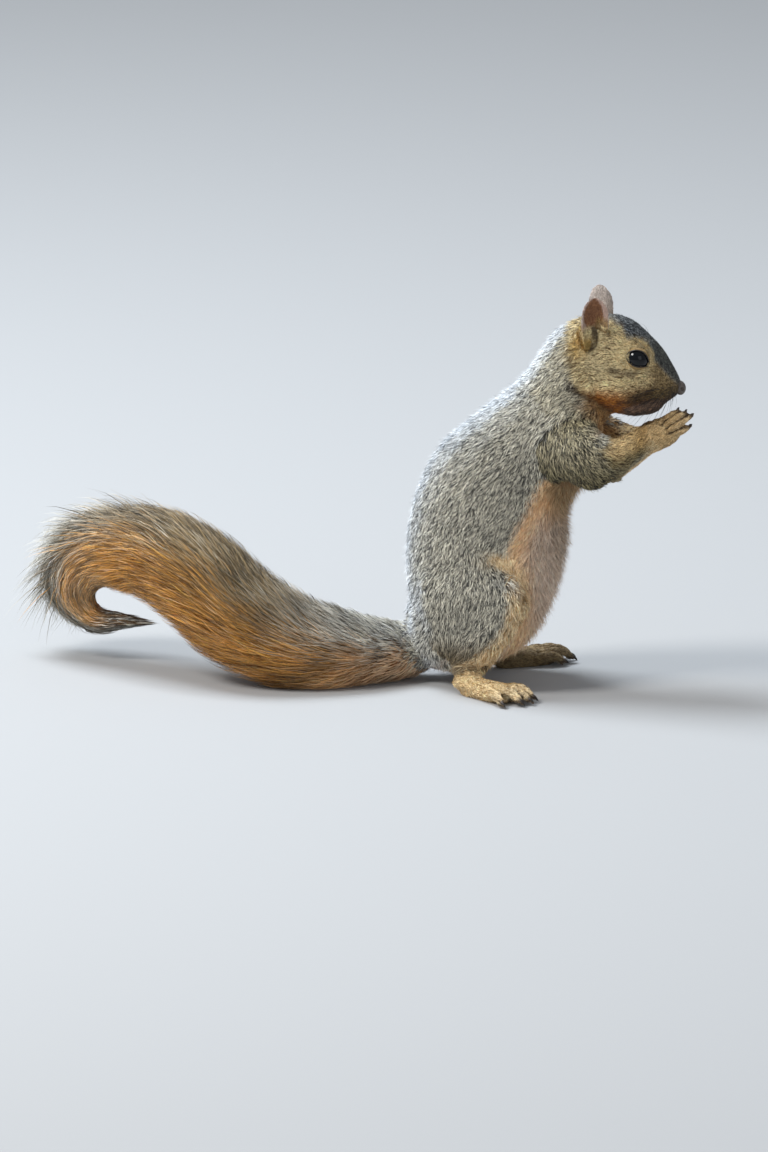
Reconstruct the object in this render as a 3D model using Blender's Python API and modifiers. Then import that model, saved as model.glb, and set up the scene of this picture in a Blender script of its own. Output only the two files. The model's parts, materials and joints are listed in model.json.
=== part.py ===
"""Eastern fox squirrel, life size, sitting up on its hind feet with both hands held before its mouth.

The animal faces +X, its left side is +Y and +Z is up. It rests on the plane z = 0, on its soles and
on the fur under the root of its tail. Every solid reaches to the tips of the coat. Sizes are in
millimetres up to the moment a mesh is made, and the meshes are in metres.

The soft masses are lofted, fused into one body, thinned, and parted into named nodes by thin cuts.
"""

import math
from functools import partial

import bmesh
import bpy
import numpy as np
from mathutils import Matrix, Vector

MM = 0.001
GAP = 0.3  # clearance left between two nodes that meet
COLLECTION = "fox_squirrel"
LEFT, RIGHT = 1, -1
SIDES = {"left": LEFT, "right": RIGHT}

# Meshing.
BODY_VOXEL = 1.5  # for the large masses
BODY_SMOOTHING = 5
FINE_VOXEL = 0.9  # once the fingers and toes are on
FINE_SMOOTHING = 2
BODY_TRIANGLES = 3300
RING_POINTS = 32
DIGIT_POINTS = 12
RINGS_PER_SPAN = 5
CUTTER_SIDES = 12
FAR = 400.0  # larger than the animal

# Eyes.
EYE_CENTRE = (93.0, 14.0, 194.9)
EYE_RADIUS = 6.3

# Ears: a leaf with a hollow that faces outward and forward, its rims drawn together at the base.
EAR_ROOT = (68.0, 14.0, 200.5)
EAR_TIP = {"left": (69.2, 18.6, 229.4), "right": (69.8, 18.6, 229.4)}
EAR_TURN = 35.0  # degrees from straight outward to forward
EAR_THICKNESS = 1.7
EAR_COLUMNS = 9
# Each row: share of the height, half width, half angle of the hollow.
EAR_ROWS = (
    (0.00, 5.6, 125),
    (0.22, 7.0, 95),
    (0.46, 7.8, 74),
    (0.68, 7.0, 58),
    (0.86, 5.2, 46),
    (0.96, 3.2, 40),
    (1.00, 1.6, 36),
)

# The left arm's elbow is carried higher and further forward than the right one's.
# Each station of a limb: x, y outward, z, half height, half width.
ARM = {
    "left": (
        (46, 16, 151, 19, 12),
        (60, 26, 147, 16, 12.5),
        (74, 28.5, 139.5, 13.5, 11.5),
        (87, 23, 139, 9.5, 9.0),
        (95, 15, 144.5, 7.4, 6.6),
        (99, 10.5, 148.5, 6.8, 5.4),
    ),
    "right": (
        (46, 16, 150, 19, 12),
        (60, 26, 143, 18, 12.5),
        (75, 28, 135.5, 15.5, 11.5),
        (89, 21, 140.5, 11.5, 9.5),
        (101, 10.5, 150, 7.4, 5.6),
    ),
}
ELBOW = 2  # the station where the forearm begins
# The hand hangs on the end of the arm. The left one is held a little lower and further back.
HAND_PLACE = {"left": (-2.3, 0.0, -2.8), "right": (0.0, 0.0, 0.0)}
WRIST = (100.0, 11.2, 149.6)
FINGER_WAY = (0.85, -0.2, 0.5)
PALM = (
    (96, 13.0, 147.4, 7.2, 5.6),
    (103, 9.8, 151.0, 6.6, 4.6),
    (109, 8.8, 153.0, 7.6, 3.9),
    (113, 8.4, 154.6, 6.4, 3.2),
)
# Each finger: root, middle joint, tip, and the tip of its claw.
FINGERS = (
    ((106.0, 8.2, 158.4), (111.0, 9.6, 162.1), (115.2, 7.4, 163.6), (116.8, 6.2, 166.3)),
    ((109.5, 8.8, 157.0), (115.2, 10.4, 161.1), (119.7, 8.2, 162.6), (121.3, 7.0, 165.3)),
    ((112.5, 8.8, 153.8), (119.0, 10.4, 157.9), (123.5, 8.2, 160.6), (125.2, 6.8, 163.0)),
    ((113.0, 8.4, 150.3), (119.0, 9.4, 152.2), (122.4, 7.2, 154.6), (124.4, 5.8, 156.4)),
)
FINGER_RADIUS = 1.9
THUMB = ((100.5, 8.0, 155.0), (102.3, 6.6, 157.4), (103.4, 6.0, 159.0))
THUMB_RADIUS = 1.7

# Hind legs. Toes are in the foot's own frame: forward from the heel, outward, up.
THIGH = (
    (-16, 24, 50, 30, 14),
    (2, 30, 53, 28, 13),
    (20, 33, 54, 17, 11),
)
SHANK = (
    (20, 34, 54, 15, 9.5),
    (11, 34, 36, 14, 9.5),
    (1, 31, 18, 10, 9),
    (-2.5, 30, 10, 8, 8),
)
HEEL = {"left": (-3.0, 29.0), "right": (-10.5, 32.0)}
FOOT_SPLAY = {"left": 33.0, "right": 27.0}  # degrees outward of straight ahead
FOOT = (
    (6, 0.0, 9.0, 6.4, 6.3),
    (13, 0.0, 6.0, 6.5, 7.0),
    (22, 0.5, 4.8, 6.0, 8.2),
    (34, 1.5, 4.6, 5.6, 10.2),
    (40, 1.5, 4.4, 4.8, 10.0),
)
TOES = (
    ((31, -7.0, 4.8), (39, -9.3, 6.4), (45, -10.6, 3.2), (49.2, -11.4, 1.3)),
    ((34, -4.0, 5.4), (45, -5.2, 7.8), (52.5, -5.6, 3.8), (56.8, -5.8, 1.5)),
    ((35, 0.6, 5.6), (47, 0.9, 8.0), (54.5, 1.1, 3.8), (59, 1.2, 1.5)),
    ((34, 5.2, 5.4), (45, 6.6, 7.8), (53, 7.6, 3.8), (57.3, 8.0, 1.5)),
    ((30, 8.6, 4.8), (40, 13.0, 6.4), (47, 16.2, 3.2), (50.8, 17.8, 1.3)),
)
TOE_RADIUS = 3.0

# Claws are curved cones let into the tips of the digits.
CLAW_ROOT_RADIUS = 0.95
CLAW_TIP_RADIUS = 0.3
CLAW_SIDES = 6
CLAW_ARCH = 0.35
CLAW_DEPTH = 1.2  # how far a claw is let into its digit

# Sections of the trunk and head: back x, back z, front x, front z, half width.
TRUNK = (
    (-32, 13, 8, 12, 23),
    (-40.5, 24, 25, 20, 33),
    (-43.5, 45, 38, 40, 37),
    (-43, 69, 46, 62, 38.5),
    (-41, 95, 50.5, 82, 37),
    (-33.2, 121, 55, 102, 34),
    (-20.5, 141.5, 61, 120, 32),
    (-0.5, 158.5, 69, 139, 29),
    (22.5, 178.5, 75, 155, 25.5),
    (45, 206, 79, 165, 22.5),
)
HEAD = (
    (53, 211.5, 67, 168, 19),
    (63, 216.5, 74, 161, 21.5),
    (78, 217.5, 84, 158.4, 22),
    (90, 214, 92, 158.2, 20.5),
    (98, 208, 98, 160.2, 17),
    (105, 199.5, 104, 164, 13),
    (110.8, 190, 109, 168, 9.8),
    (115.2, 182.4, 113.5, 170.8, 6.8),
    (117.8, 178.4, 116, 172.4, 4.6),
)
# Extra masses: centre, half axes, degrees the front end dips. All but the middle ones are on both sides.
FLESH = {
    "cheek": ((82, 13.5, 179), (16, 9.5, 14), 20),
    "brow": ((93, 13.2, 202.6), (8.5, 4.6, 3.2), 35),
    "whisker_pad": ((107, 6.5, 173), (6, 5, 5), 25),
    "shoulder": ((48, 17, 149), (20, 13, 22), -35),
}
CHIN = ((99, 0, 164.2), (8, 8, 5), -20)
NOSE = ((117.2, 0, 175.6), (2.6, 3.9, 4.2), 10)
NOSE_MARGIN = 0.6  # the bare pad reaches this much past the nose's own bulge

# The tail rises behind, arches and curls down to its tip.
TAIL = (
    (-30, 0, 22, 14, 15),
    (-44, 3, 18.3, 18, 20),
    (-61, 12, 18.5, 22, 28),
    (-84, 24, 22.0, 26.5, 35),
    (-106, 30, 28.0, 28.5, 37),
    (-134, 29, 41.5, 33.0, 37),
    (-160, 20, 61.0, 30.5, 36),
    (-187, 7, 71.5, 29.5, 35),
    (-211, -3, 72.5, 27.5, 33),
    (-235, -11, 61.5, 22.0, 29),
    (-244.5, -15, 43.5, 21.5, 25),
    (-239, -16, 27.5, 14.5, 18),
    (-222, -15, 20.3, 8.5, 11),
    (-204, -12, 23.0, 3.5, 5),
)
TAIL_CUTS = (2, 4, 6, 8)  # the stations where the tail is divided
# Radii at both ends and length of what holds the tail past such a cut, and past its root.
TAIL_CONE = (90.0, 90.0, 200.0)
TAIL_ROOT_CONE = (24.0, 60.0, 60.0)

# Planes that part the body: a point, and the way the parted piece lies. y counts outward.
NECK_CUT = ((70, 0, 184), (0.85, 0, 0.12))
CHEST_CUT = ((44, 0, 168), (0.55, 0, 0.60))
TAIL_ROOT_CUT = ((-44, 3, 20), (-1.0, 0.1, 0.05))
# Cones that hold the whole hand and forearm: radius at the start, radius at the end, length.
HAND_CONE = (8.4, 11.5, 32.0)
FOREARM_CONE = (15.5, 8.4, 34.0)
# Thigh and upper arm are parted from the trunk by ellipsoids: centre, half axes.
HIP = ((-1, 42, 50), (34, 24, 39))
SHOULDER = ((62, 36, 141), (25, 23, 23))
SHANK_MARGIN = 1.5  # how far the shank's share of the flank reaches past its own loft
ANKLE_HEIGHT = 14.0
FOOT_REACH = ((-8, 70), (-14, 25))  # along and across the foot, all that belongs to it

# Colours, as linear RGB.
COAT_GREY = (0.20, 0.17, 0.12)
COAT_ORANGE = (0.55, 0.26, 0.08)
COAT_TAIL = (0.33, 0.17, 0.07)
COAT_PAW = (0.60, 0.38, 0.15)
EAR_SKIN = (0.40, 0.20, 0.11)
NOSE_LEATHER = (0.06, 0.05, 0.05)
EYE_BLACK = (0.010, 0.008, 0.008)
CLAW_HORN = (0.030, 0.025, 0.022)


# ---------------------------------------------------------------- lofts


def spline(rows, steps=RINGS_PER_SPAN):
    """Catmull-Rom through rows of numbers, with the given number of steps in each span."""
    rows = np.asarray(rows, float)
    padded = np.vstack([2 * rows[0] - rows[1], rows, 2 * rows[-1] - rows[-2]])
    found = []
    for i in range(1, len(padded) - 2):
        before, start, end, after = padded[i - 1 : i + 3]
        for t in np.arange(steps) / steps:
            straight = 2 * start + (end - before) * t
            bend = (2 * before - 5 * start + 4 * end - after) * t**2
            twist = (3 * start - before - 3 * end + after) * t**3
            found.append((straight + bend + twist) / 2)
    return np.array([*found, rows[-1]])


def unit(vector):
    """The vector at length one."""
    vector = np.asarray(vector, float)
    return vector / np.linalg.norm(vector)


def domed(rings, share, steps=3):
    """The rings with domes at both ends. share is a dome's height over its radius."""
    domes = []
    for end, inner in ((0, 1), (-1, -2)):
        centre, height, width = rings[end]
        outward = unit(centre - rings[inner][0])
        rise = share * (np.linalg.norm(height) + np.linalg.norm(width)) / 2
        dome = []
        for k in range(1, steps + 1):
            angle = 0.5 * math.pi * k / (steps + 0.35)
            shrink = math.cos(angle)
            dome.append((centre + outward * rise * math.sin(angle), height * shrink, width * shrink))
        domes.append(dome)
    return domes[0][::-1] + rings + domes[1]


def loft(rings, points=RING_POINTS):
    """A closed mesh through elliptical rings, each a centre and two half axes, in millimetres."""
    mesh = bmesh.new()
    angles = 2 * math.pi * np.arange(points) / points
    loops = []
    for centre, height, width in rings:
        places = centre + np.outer(np.cos(angles), height) + np.outer(np.sin(angles), width)
        loops.append([mesh.verts.new(Vector(place) * MM) for place in places])
    for lower, upper in zip(loops, loops[1:]):
        for i in range(points):
            j = (i + 1) % points
            mesh.faces.new((lower[i], lower[j], upper[j], upper[i]))
    mesh.faces.new(loops[0][::-1])
    mesh.faces.new(loops[-1])
    bmesh.ops.recalc_face_normals(mesh, faces=mesh.faces)
    return mesh


def profile_loft(sections):
    """A loft across the middle plane, through sections that each run from the back to the front."""
    rings = []
    for back_x, back_z, front_x, front_z, half_width in spline(sections):
        back = np.array((back_x, 0.0, back_z))
        front = np.array((front_x, 0.0, front_z))
        rings.append(((back + front) / 2, (front - back) / 2, np.array((0.0, half_width, 0.0))))
    return loft(domed(rings, share=0.35))


def limb_loft(stations, side=LEFT, points=RING_POINTS, share=0.75, steps=RINGS_PER_SPAN, dome_steps=3):
    """A loft along a bent limb, whose stations are given for the left side."""
    rows = spline(stations, steps)
    centres = rows[:, :3] * (1, side, 1)
    rings = []
    for centre, along, half_height, half_width in zip(
        centres, np.gradient(centres, axis=0), rows[:, 3], rows[:, 4]
    ):
        along = unit(along)
        across = unit(np.array((0.0, 1.0, 0.0)) - along * along[1])
        rings.append((centre, np.cross(along, across) * half_height, across * half_width))
    return loft(domed(rings, share, dome_steps), points)


def digit_loft(joints, radius, side):
    """A finger or toe through its joints, a little slimmer at the tip."""
    radii = np.linspace(1.05, 0.85, len(joints)) * radius
    stations = [(*joint, r, r) for joint, r in zip(joints, radii)]
    return limb_loft(stations, side, DIGIT_POINTS, share=0.9, steps=3)


def claw_loft(tip, point, side, grow=0.0):
    """A claw from inside the digit's tip to its point, arched upward on the way."""
    tip, point = np.array(tip, float), np.array(point, float)
    way = unit(point - tip)
    root = tip + way * (FINGER_RADIUS - CLAW_DEPTH)
    middle = (root + point) / 2 + np.array((0, 0, CLAW_ARCH))
    radii = np.array((CLAW_ROOT_RADIUS, 0.75 * CLAW_ROOT_RADIUS, CLAW_TIP_RADIUS)) + grow
    ends = (root - way * grow, middle, point)
    stations = [(*place, r * 1.15, r) for place, r in zip(ends, radii)]
    return limb_loft(stations, side, CLAW_SIDES, steps=1, dome_steps=0)


def ellipsoid(centre, half_axes, dip=0.0, grow=0.0, segments=16):
    """An ellipsoid whose front end dips by so many degrees."""
    mesh = bmesh.new()
    bmesh.ops.create_uvsphere(mesh, u_segments=segments, v_segments=segments // 2, radius=1.0)
    size = Matrix.Diagonal((*((Vector(half_axes) + Vector((grow, grow, grow))) * MM), 1.0))
    mesh.transform(Matrix.Translation(Vector(centre) * MM) @ Matrix.Rotation(math.radians(dip), 4, "Y") @ size)
    return mesh


def mirrored(place, side):
    """A place given for the left side, on the given side."""
    return (place[0], place[1] * side, place[2])


# ---------------------------------------------------------------- objects and their modifiers


def material(name, colour, roughness=0.85):
    """A plain Principled material."""
    made = bpy.data.materials.new(name)
    made.use_nodes = True
    shader = made.node_tree.nodes["Principled BSDF"]
    shader.inputs["Base Color"].default_value = (*colour, 1.0)
    shader.inputs["Roughness"].default_value = roughness
    made.diffuse_color = (*colour, 1.0)
    return made


def new_object(name, mesh, collection):
    """An object of its own from a bmesh, which is freed."""
    data = bpy.data.meshes.new(name)
    mesh.to_mesh(data)
    mesh.free()
    made = bpy.data.objects.new(name, data)
    collection.objects.link(made)
    return made


def joined(meshes):
    """One bmesh that holds all these, which are freed."""
    whole = bmesh.new()
    for mesh in meshes:
        data = bpy.data.meshes.new("joining")
        mesh.to_mesh(data)
        mesh.free()
        whole.from_mesh(data)
        bpy.data.meshes.remove(data)
    return whole


def apply_modifiers(obj):
    """Makes the object's evaluated mesh its own mesh."""
    bpy.context.view_layer.update()
    graph = bpy.context.evaluated_depsgraph_get()
    data = bpy.data.meshes.new_from_object(obj.evaluated_get(graph))
    old = obj.data
    obj.modifiers.clear()
    obj.data = data
    bpy.data.meshes.remove(old)


def fuse(obj, voxel, smoothing):
    """Fuses overlapping closed shells into one and softens the creases where they met."""
    remesh = obj.modifiers.new("fuse", "REMESH")
    remesh.mode = "VOXEL"
    remesh.voxel_size = voxel * MM
    soften = obj.modifiers.new("soften", "SMOOTH")
    soften.factor = 0.5
    soften.iterations = smoothing
    apply_modifiers(obj)


def thin_out(obj, triangles, keep):
    """Collapses the mesh to about that many triangles. keep(point) is highest where detail stays."""
    group = obj.vertex_groups.new(name="thin")
    for vertex in obj.data.vertices:
        group.add([vertex.index], 1.0 - keep(vertex.co / MM), "REPLACE")
    thin = obj.modifiers.new("thin", "DECIMATE")
    thin.ratio = triangles / (2 * len(obj.data.polygons))
    thin.vertex_group = group.name
    apply_modifiers(obj)
    obj.vertex_groups.clear()


def boolean(obj, cutter_mesh, operation):
    """Applies one exact Boolean with a cutter that is then removed, and keeps the largest body."""
    cutter = new_object("cutter", cutter_mesh, bpy.data.collections["cutters"])
    cutter.hide_render = True
    cutter.display_type = "WIRE"
    cut = obj.modifiers.new(operation.lower(), "BOOLEAN")
    cut.operation = operation
    cut.solver = "EXACT"
    cut.object = cutter
    apply_modifiers(obj)
    bpy.data.objects.remove(cutter)
    keep_largest(obj)


def keep_largest(obj):
    """Removes the crumbs that a cut leaves beside the main body."""
    mesh = bmesh.new()
    mesh.from_mesh(obj.data)
    unseen, bodies = set(mesh.verts), []
    while unseen:
        edge = [unseen.pop()]
        body = set(edge)
        while edge:
            near = {other for link in edge.pop().link_edges for other in link.verts} - body
            body |= near
            edge += near
        unseen -= body
        bodies.append(body)
    bodies.sort(key=len)
    crumbs = [vertex for body in bodies[:-1] for vertex in body]
    bmesh.ops.delete(mesh, geom=crumbs, context="VERTS")
    bmesh.ops.triangulate(mesh, faces=mesh.faces)
    mesh.to_mesh(obj.data)
    mesh.free()


def beyond(point, way, side=LEFT, grow=0.0, cone=(FAR, FAR, FAR)):
    """A round bar or cone that starts square across a point and runs that way."""
    start_radius, end_radius, length = cone
    way = Vector(mirrored(way, side)).normalized()
    start = Vector(mirrored(point, side)) - way * grow
    mesh = bmesh.new()
    size = {"radius1": (start_radius + grow) * MM, "radius2": (end_radius + grow) * MM, "depth": length * MM}
    bmesh.ops.create_cone(mesh, cap_ends=True, segments=CUTTER_SIDES, **size)
    turn = way.to_track_quat("Z", "Y").to_matrix().to_4x4()
    mesh.transform(Matrix.Translation((start + way * length / 2) * MM) @ turn)
    return mesh


def foot_block(name, side, grow=0.0):
    """A block in line with a hind foot that holds all of it below the ankle."""
    (back, front), (inner, outer) = FOOT_REACH
    corners = []
    mesh = bmesh.new()
    for height in (-ANKLE_HEIGHT, ANKLE_HEIGHT + grow):
        for forward, outward in ((back, inner), (front, inner), (front, outer), (back, outer)):
            swell = (math.copysign(grow, forward), math.copysign(grow, outward))
            place = foot_place(name, forward + swell[0], outward + swell[1], height)
            corners.append(mesh.verts.new(Vector(mirrored(place, side)) * MM))
    bmesh.ops.convex_hull(mesh, input=corners)
    bmesh.ops.recalc_face_normals(mesh, faces=mesh.faces)
    return mesh


def part_off(body, name, look, volume):
    """Gives what lies in a volume to a node of its own. volume(grow) makes the volume's mesh."""
    node = bpy.data.objects.new(name, body.data.copy())
    bpy.data.collections[COLLECTION].objects.link(node)
    boolean(node, volume(0.0), "INTERSECT")
    boolean(body, volume(GAP), "DIFFERENCE")
    dress(node, look)
    return node


def dress(obj, look):
    """One material all over, shaded smooth."""
    obj.data.materials.clear()
    obj.data.materials.append(look)
    obj.data.shade_smooth()


# ---------------------------------------------------------------- the animal


def foot_place(name, forward, outward, height):
    """A place on a hind foot, from its own frame to the body's, y outward."""
    heel_x, heel_y = HEEL[name]
    angle = math.radians(FOOT_SPLAY[name])
    return (
        heel_x + forward * math.cos(angle) - outward * math.sin(angle),
        heel_y + forward * math.sin(angle) + outward * math.cos(angle),
        height,
    )


def large_masses():
    """The masses of the trunk, head, tail and limbs."""
    masses = [profile_loft(TRUNK), profile_loft(HEAD), limb_loft(TAIL, RIGHT, share=0.9)]
    for name, side in SIDES.items():
        masses += [limb_loft(ARM[name], side), limb_loft(THIGH, side), limb_loft(SHANK, side)]
        for centre, half_axes, dip in FLESH.values():
            masses.append(ellipsoid(mirrored(centre, side), half_axes, dip))
    for centre, half_axes, dip in (CHIN, NOSE):
        masses.append(ellipsoid(centre, half_axes, dip))
    return masses


def hand_and_foot(name, side):
    """The palm, fingers, sole and toes of one side."""
    palm = np.array(PALM, float) + (*HAND_PLACE[name], 0.0, 0.0)
    masses = [limb_loft(palm, side), digit_loft(np.add(THUMB, HAND_PLACE[name]), THUMB_RADIUS, side)]
    for *joints, _claw in FINGERS:
        masses.append(digit_loft(np.add(joints, HAND_PLACE[name]), FINGER_RADIUS, side))
    sole = [(*foot_place(name, *row[:3]), *row[3:]) for row in FOOT]
    masses.append(limb_loft(sole, side))
    for *joints, _claw in TOES:
        masses.append(digit_loft([foot_place(name, *joint) for joint in joints], TOE_RADIUS, side))
    return masses


def claws(name):
    """Each claw's name on one side, with the tip of its digit and its point."""
    found = []
    for number, (*_, tip, point) in enumerate(FINGERS, 1):
        ends = (np.add(end, HAND_PLACE[name]) for end in (tip, point))
        found.append((f"hand_claw_{name}_{number}", *ends))
    for number, (*_, tip, point) in enumerate(TOES, 1):
        found.append((f"foot_claw_{name}_{number}", foot_place(name, *tip), foot_place(name, *point)))
    return found


def detail_kept(point):
    """How far the body keeps its triangles: most on the face, hands and feet."""
    if point.x > 90 and point.z > 140:
        return 0.93
    if point.z < 14 and point.x > 5:
        return 0.90
    if point.x > 55 and point.z > 155:
        return 0.60
    return 0.30


def fused_body(collection):
    """The whole soft body as one mesh, cut level where it lies on the floor."""
    body = new_object("trunk", joined(large_masses()), collection)
    fuse(body, BODY_VOXEL, BODY_SMOOTHING)
    whole = bmesh.new()
    whole.from_mesh(body.data)
    digits = [mesh for name, side in SIDES.items() for mesh in hand_and_foot(name, side)]
    joined([whole, *digits]).to_mesh(body.data)
    fuse(body, FINE_VOXEL, FINE_SMOOTHING)
    thin_out(body, BODY_TRIANGLES, detail_kept)
    boolean(body, beyond((0, 0, 0), (0, 0, -1)), "DIFFERENCE")
    return body


def ear(name, side, look, body):
    """A cupped leaf, trimmed to meet the head."""
    root, tip = Vector(mirrored(EAR_ROOT, side)), Vector(mirrored(EAR_TIP[name], side))
    turn = math.radians(EAR_TURN)
    facing = Vector((math.sin(turn), side * math.cos(turn), 0.0))
    across = facing.cross(tip - root).normalized()
    mesh = bmesh.new()
    rows = []
    for share, half_width, half_angle in EAR_ROWS:
        reach = math.radians(half_angle)
        radius = half_width / math.sin(min(reach, 0.5 * math.pi))
        middle = root.lerp(tip, share)
        row = []
        for step in np.linspace(-reach, reach, EAR_COLUMNS):
            place = middle + across * radius * math.sin(step) + facing * radius * (0.6 - math.cos(step))
            row.append(mesh.verts.new(place * MM))
        rows.append(row)
    for lower, upper in zip(rows, rows[1:]):
        for i in range(len(lower) - 1):
            mesh.faces.new((lower[i], lower[i + 1], upper[i + 1], upper[i]))
    bmesh.ops.recalc_face_normals(mesh, faces=mesh.faces)
    made = new_object(f"ear_{name}", mesh, bpy.data.collections[COLLECTION])
    shell = made.modifiers.new("thickness", "SOLIDIFY")
    shell.thickness = EAR_THICKNESS * MM
    shell.offset = 0.0
    apply_modifiers(made)
    boolean(made, grown(body, GAP), "DIFFERENCE")
    dress(made, look)


def grown(obj, by):
    """The object's mesh with its surface moved outward."""
    mesh = bmesh.new()
    mesh.from_mesh(obj.data)
    mesh.normal_update()
    for vertex, normal in [(vertex, vertex.normal.copy()) for vertex in mesh.verts]:
        vertex.co += normal * by * MM
    return mesh


def part_off_arm(body, name, side, looks):
    """Parts the hand, forearm and upper arm of one side, from the fingers up."""
    coat, paw = looks
    elbow, wrist = (np.array(ARM[name][k][:3], float) for k in (ELBOW, -1))
    hand_root = np.add(WRIST, HAND_PLACE[name])
    hand = partial(beyond, hand_root, FINGER_WAY, side, cone=HAND_CONE)
    forearm = partial(beyond, elbow, wrist - elbow, side, cone=FOREARM_CONE)
    part_off(body, f"hand_{name}", paw, hand)
    part_off(body, f"forearm_{name}", coat, forearm)
    centre, half_axes = SHOULDER
    part_off(body, f"upper_arm_{name}", coat, partial(ellipsoid, mirrored(centre, side), half_axes, 0.0))


def part_off_leg(body, name, side, looks):
    """Parts the foot, thigh and shank of one side."""
    coat, shin, paw = looks
    centre, half_axes = HIP
    part_off(body, f"foot_{name}", paw, partial(foot_block, name, side))
    part_off(body, f"thigh_{name}", coat, partial(ellipsoid, mirrored(centre, side), half_axes, 0.0))

    def shank(grow):
        """The shank's own loft, swollen by its margin."""
        swell = np.array((0, 0, 0, SHANK_MARGIN + grow, SHANK_MARGIN + grow))
        return limb_loft(np.array(SHANK, float) + swell, side, CUTTER_SIDES, steps=2)

    part_off(body, f"shank_{name}", shin, shank)


def centre_on_origin(collection):
    """Moves the animal along its length so that its middle stands over the origin."""
    ends = [corner[0] for obj in collection.objects for corner in obj.bound_box]
    shift = Matrix.Translation((-(min(ends) + max(ends)) / 2, 0.0, 0.0))
    for obj in collection.objects:
        obj.data.transform(shift)


def main():
    """Builds the squirrel."""
    for obj in list(bpy.data.objects):
        bpy.data.objects.remove(obj)
    collection = bpy.data.collections.new(COLLECTION)
    for made in (collection, bpy.data.collections.new("cutters")):
        bpy.context.scene.collection.children.link(made)
    grey = material("grizzled_coat", COAT_GREY)
    orange = material("orange_coat", COAT_ORANGE)
    tail_look = material("tail_coat", COAT_TAIL)
    paw = material("paw_coat", COAT_PAW)
    skin = material("ear_skin", EAR_SKIN)
    leather = material("nose_leather", NOSE_LEATHER, 0.5)
    eye_look = material("eye", EYE_BLACK, 0.05)
    horn = material("claw_horn", CLAW_HORN, 0.4)

    body = fused_body(collection)
    for name, side in SIDES.items():
        ear(name, side, skin, body)
    sockets = []
    for name, side in SIDES.items():
        place = mirrored(EYE_CENTRE, side)
        round_eye = (EYE_RADIUS,) * 3
        dress(new_object(f"eye_{name}", ellipsoid(place, round_eye), collection), eye_look)
        sockets.append(ellipsoid(place, round_eye, grow=GAP))
        for claw, tip, point in claws(name):
            dress(new_object(claw, claw_loft(tip, point, side), collection), horn)
            sockets.append(claw_loft(tip, point, side, GAP))
    boolean(body, joined(sockets), "DIFFERENCE")

    part_off(body, "nose", leather, lambda grow: ellipsoid(*NOSE, grow=grow + NOSE_MARGIN))
    for name, side in SIDES.items():
        part_off_arm(body, name, side, (grey, paw))
        part_off_leg(body, name, side, (grey, orange, paw))
    for number, station in reversed(list(enumerate(TAIL_CUTS, 2))):
        here, following = (np.array(TAIL[k][:3], float) for k in (station, station + 1))
        length = partial(beyond, here, following - here, RIGHT, cone=TAIL_CONE)
        part_off(body, f"tail_{number}", tail_look, length)
    tail_root = partial(beyond, *TAIL_ROOT_CUT, RIGHT, cone=TAIL_ROOT_CONE)
    part_off(body, "tail_1", tail_look, tail_root)
    part_off(body, "head", grey, partial(beyond, *NECK_CUT, LEFT))
    part_off(body, "neck", grey, partial(beyond, *CHEST_CUT, LEFT))
    dress(body, grey)
    centre_on_origin(collection)


main()
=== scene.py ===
"""A life-size fox squirrel that sits up on its hind feet with its forepaws at its mouth.

One skin takes the place of the flesh, and a coat of modelled tufts lies over it. Eyes, lids, nose,
claws and whiskers are pieces of their own. Lengths are in millimetres of body space: x the way the
squirrel faces, y to its left, z up from the floor.
"""

import json
import logging
import math
from dataclasses import dataclass, field
from enum import Enum

import bpy
import numpy as np
from mathutils import Matrix, Vector
from mathutils.bvhtree import BVHTree
from mathutils.kdtree import KDTree

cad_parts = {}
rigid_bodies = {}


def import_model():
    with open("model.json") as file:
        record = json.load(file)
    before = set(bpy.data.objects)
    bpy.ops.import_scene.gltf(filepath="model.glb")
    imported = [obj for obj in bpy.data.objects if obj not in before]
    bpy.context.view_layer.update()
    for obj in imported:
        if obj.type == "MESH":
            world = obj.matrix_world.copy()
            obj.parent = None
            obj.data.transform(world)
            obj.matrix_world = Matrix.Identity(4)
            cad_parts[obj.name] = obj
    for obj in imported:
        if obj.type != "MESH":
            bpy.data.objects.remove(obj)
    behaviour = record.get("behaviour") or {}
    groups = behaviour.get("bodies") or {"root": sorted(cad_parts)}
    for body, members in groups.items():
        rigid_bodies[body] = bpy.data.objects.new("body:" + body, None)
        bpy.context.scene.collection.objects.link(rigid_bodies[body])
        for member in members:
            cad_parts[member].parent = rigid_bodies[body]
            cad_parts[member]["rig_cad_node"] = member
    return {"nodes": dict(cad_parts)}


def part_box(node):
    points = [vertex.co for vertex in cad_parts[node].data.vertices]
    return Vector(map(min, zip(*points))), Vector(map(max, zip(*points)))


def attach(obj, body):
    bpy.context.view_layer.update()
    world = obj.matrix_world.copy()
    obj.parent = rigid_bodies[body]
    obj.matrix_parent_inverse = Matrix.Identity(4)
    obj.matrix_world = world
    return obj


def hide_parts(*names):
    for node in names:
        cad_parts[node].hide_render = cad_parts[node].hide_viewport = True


MM = 0.001
BODY = "root"
SEED = 20240611
EYE_PLACE = (93.0, 14.0, 194.9)  # the left eye's centre in body space
EYE_RADIUS = 6.3
FLAT = np.array((1.0, 0.35, 1.0))  # how much each way counts in the distance to a crease
FLOOR_GAP = 0.05  # the least height of any hair over the floor
COLOUR_LAYER = "coat_colour"
BAKE_MAP = "OFBake"
BAKE_PATCH = 0.003  # the size of one hair's patch on the bake map
BAKE_MARGIN = 0.015  # the map's empty border
CLUMPS = 65521  # how many clumps' random numbers the body's coat has
TAIL_CLUMPS = 4093
LOG = logging.getLogger("squirrel")
Array = np.ndarray
Random = np.random.Generator
Piece = bpy.types.Object
Look = bpy.types.Material


# --- Small tools ---


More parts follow.
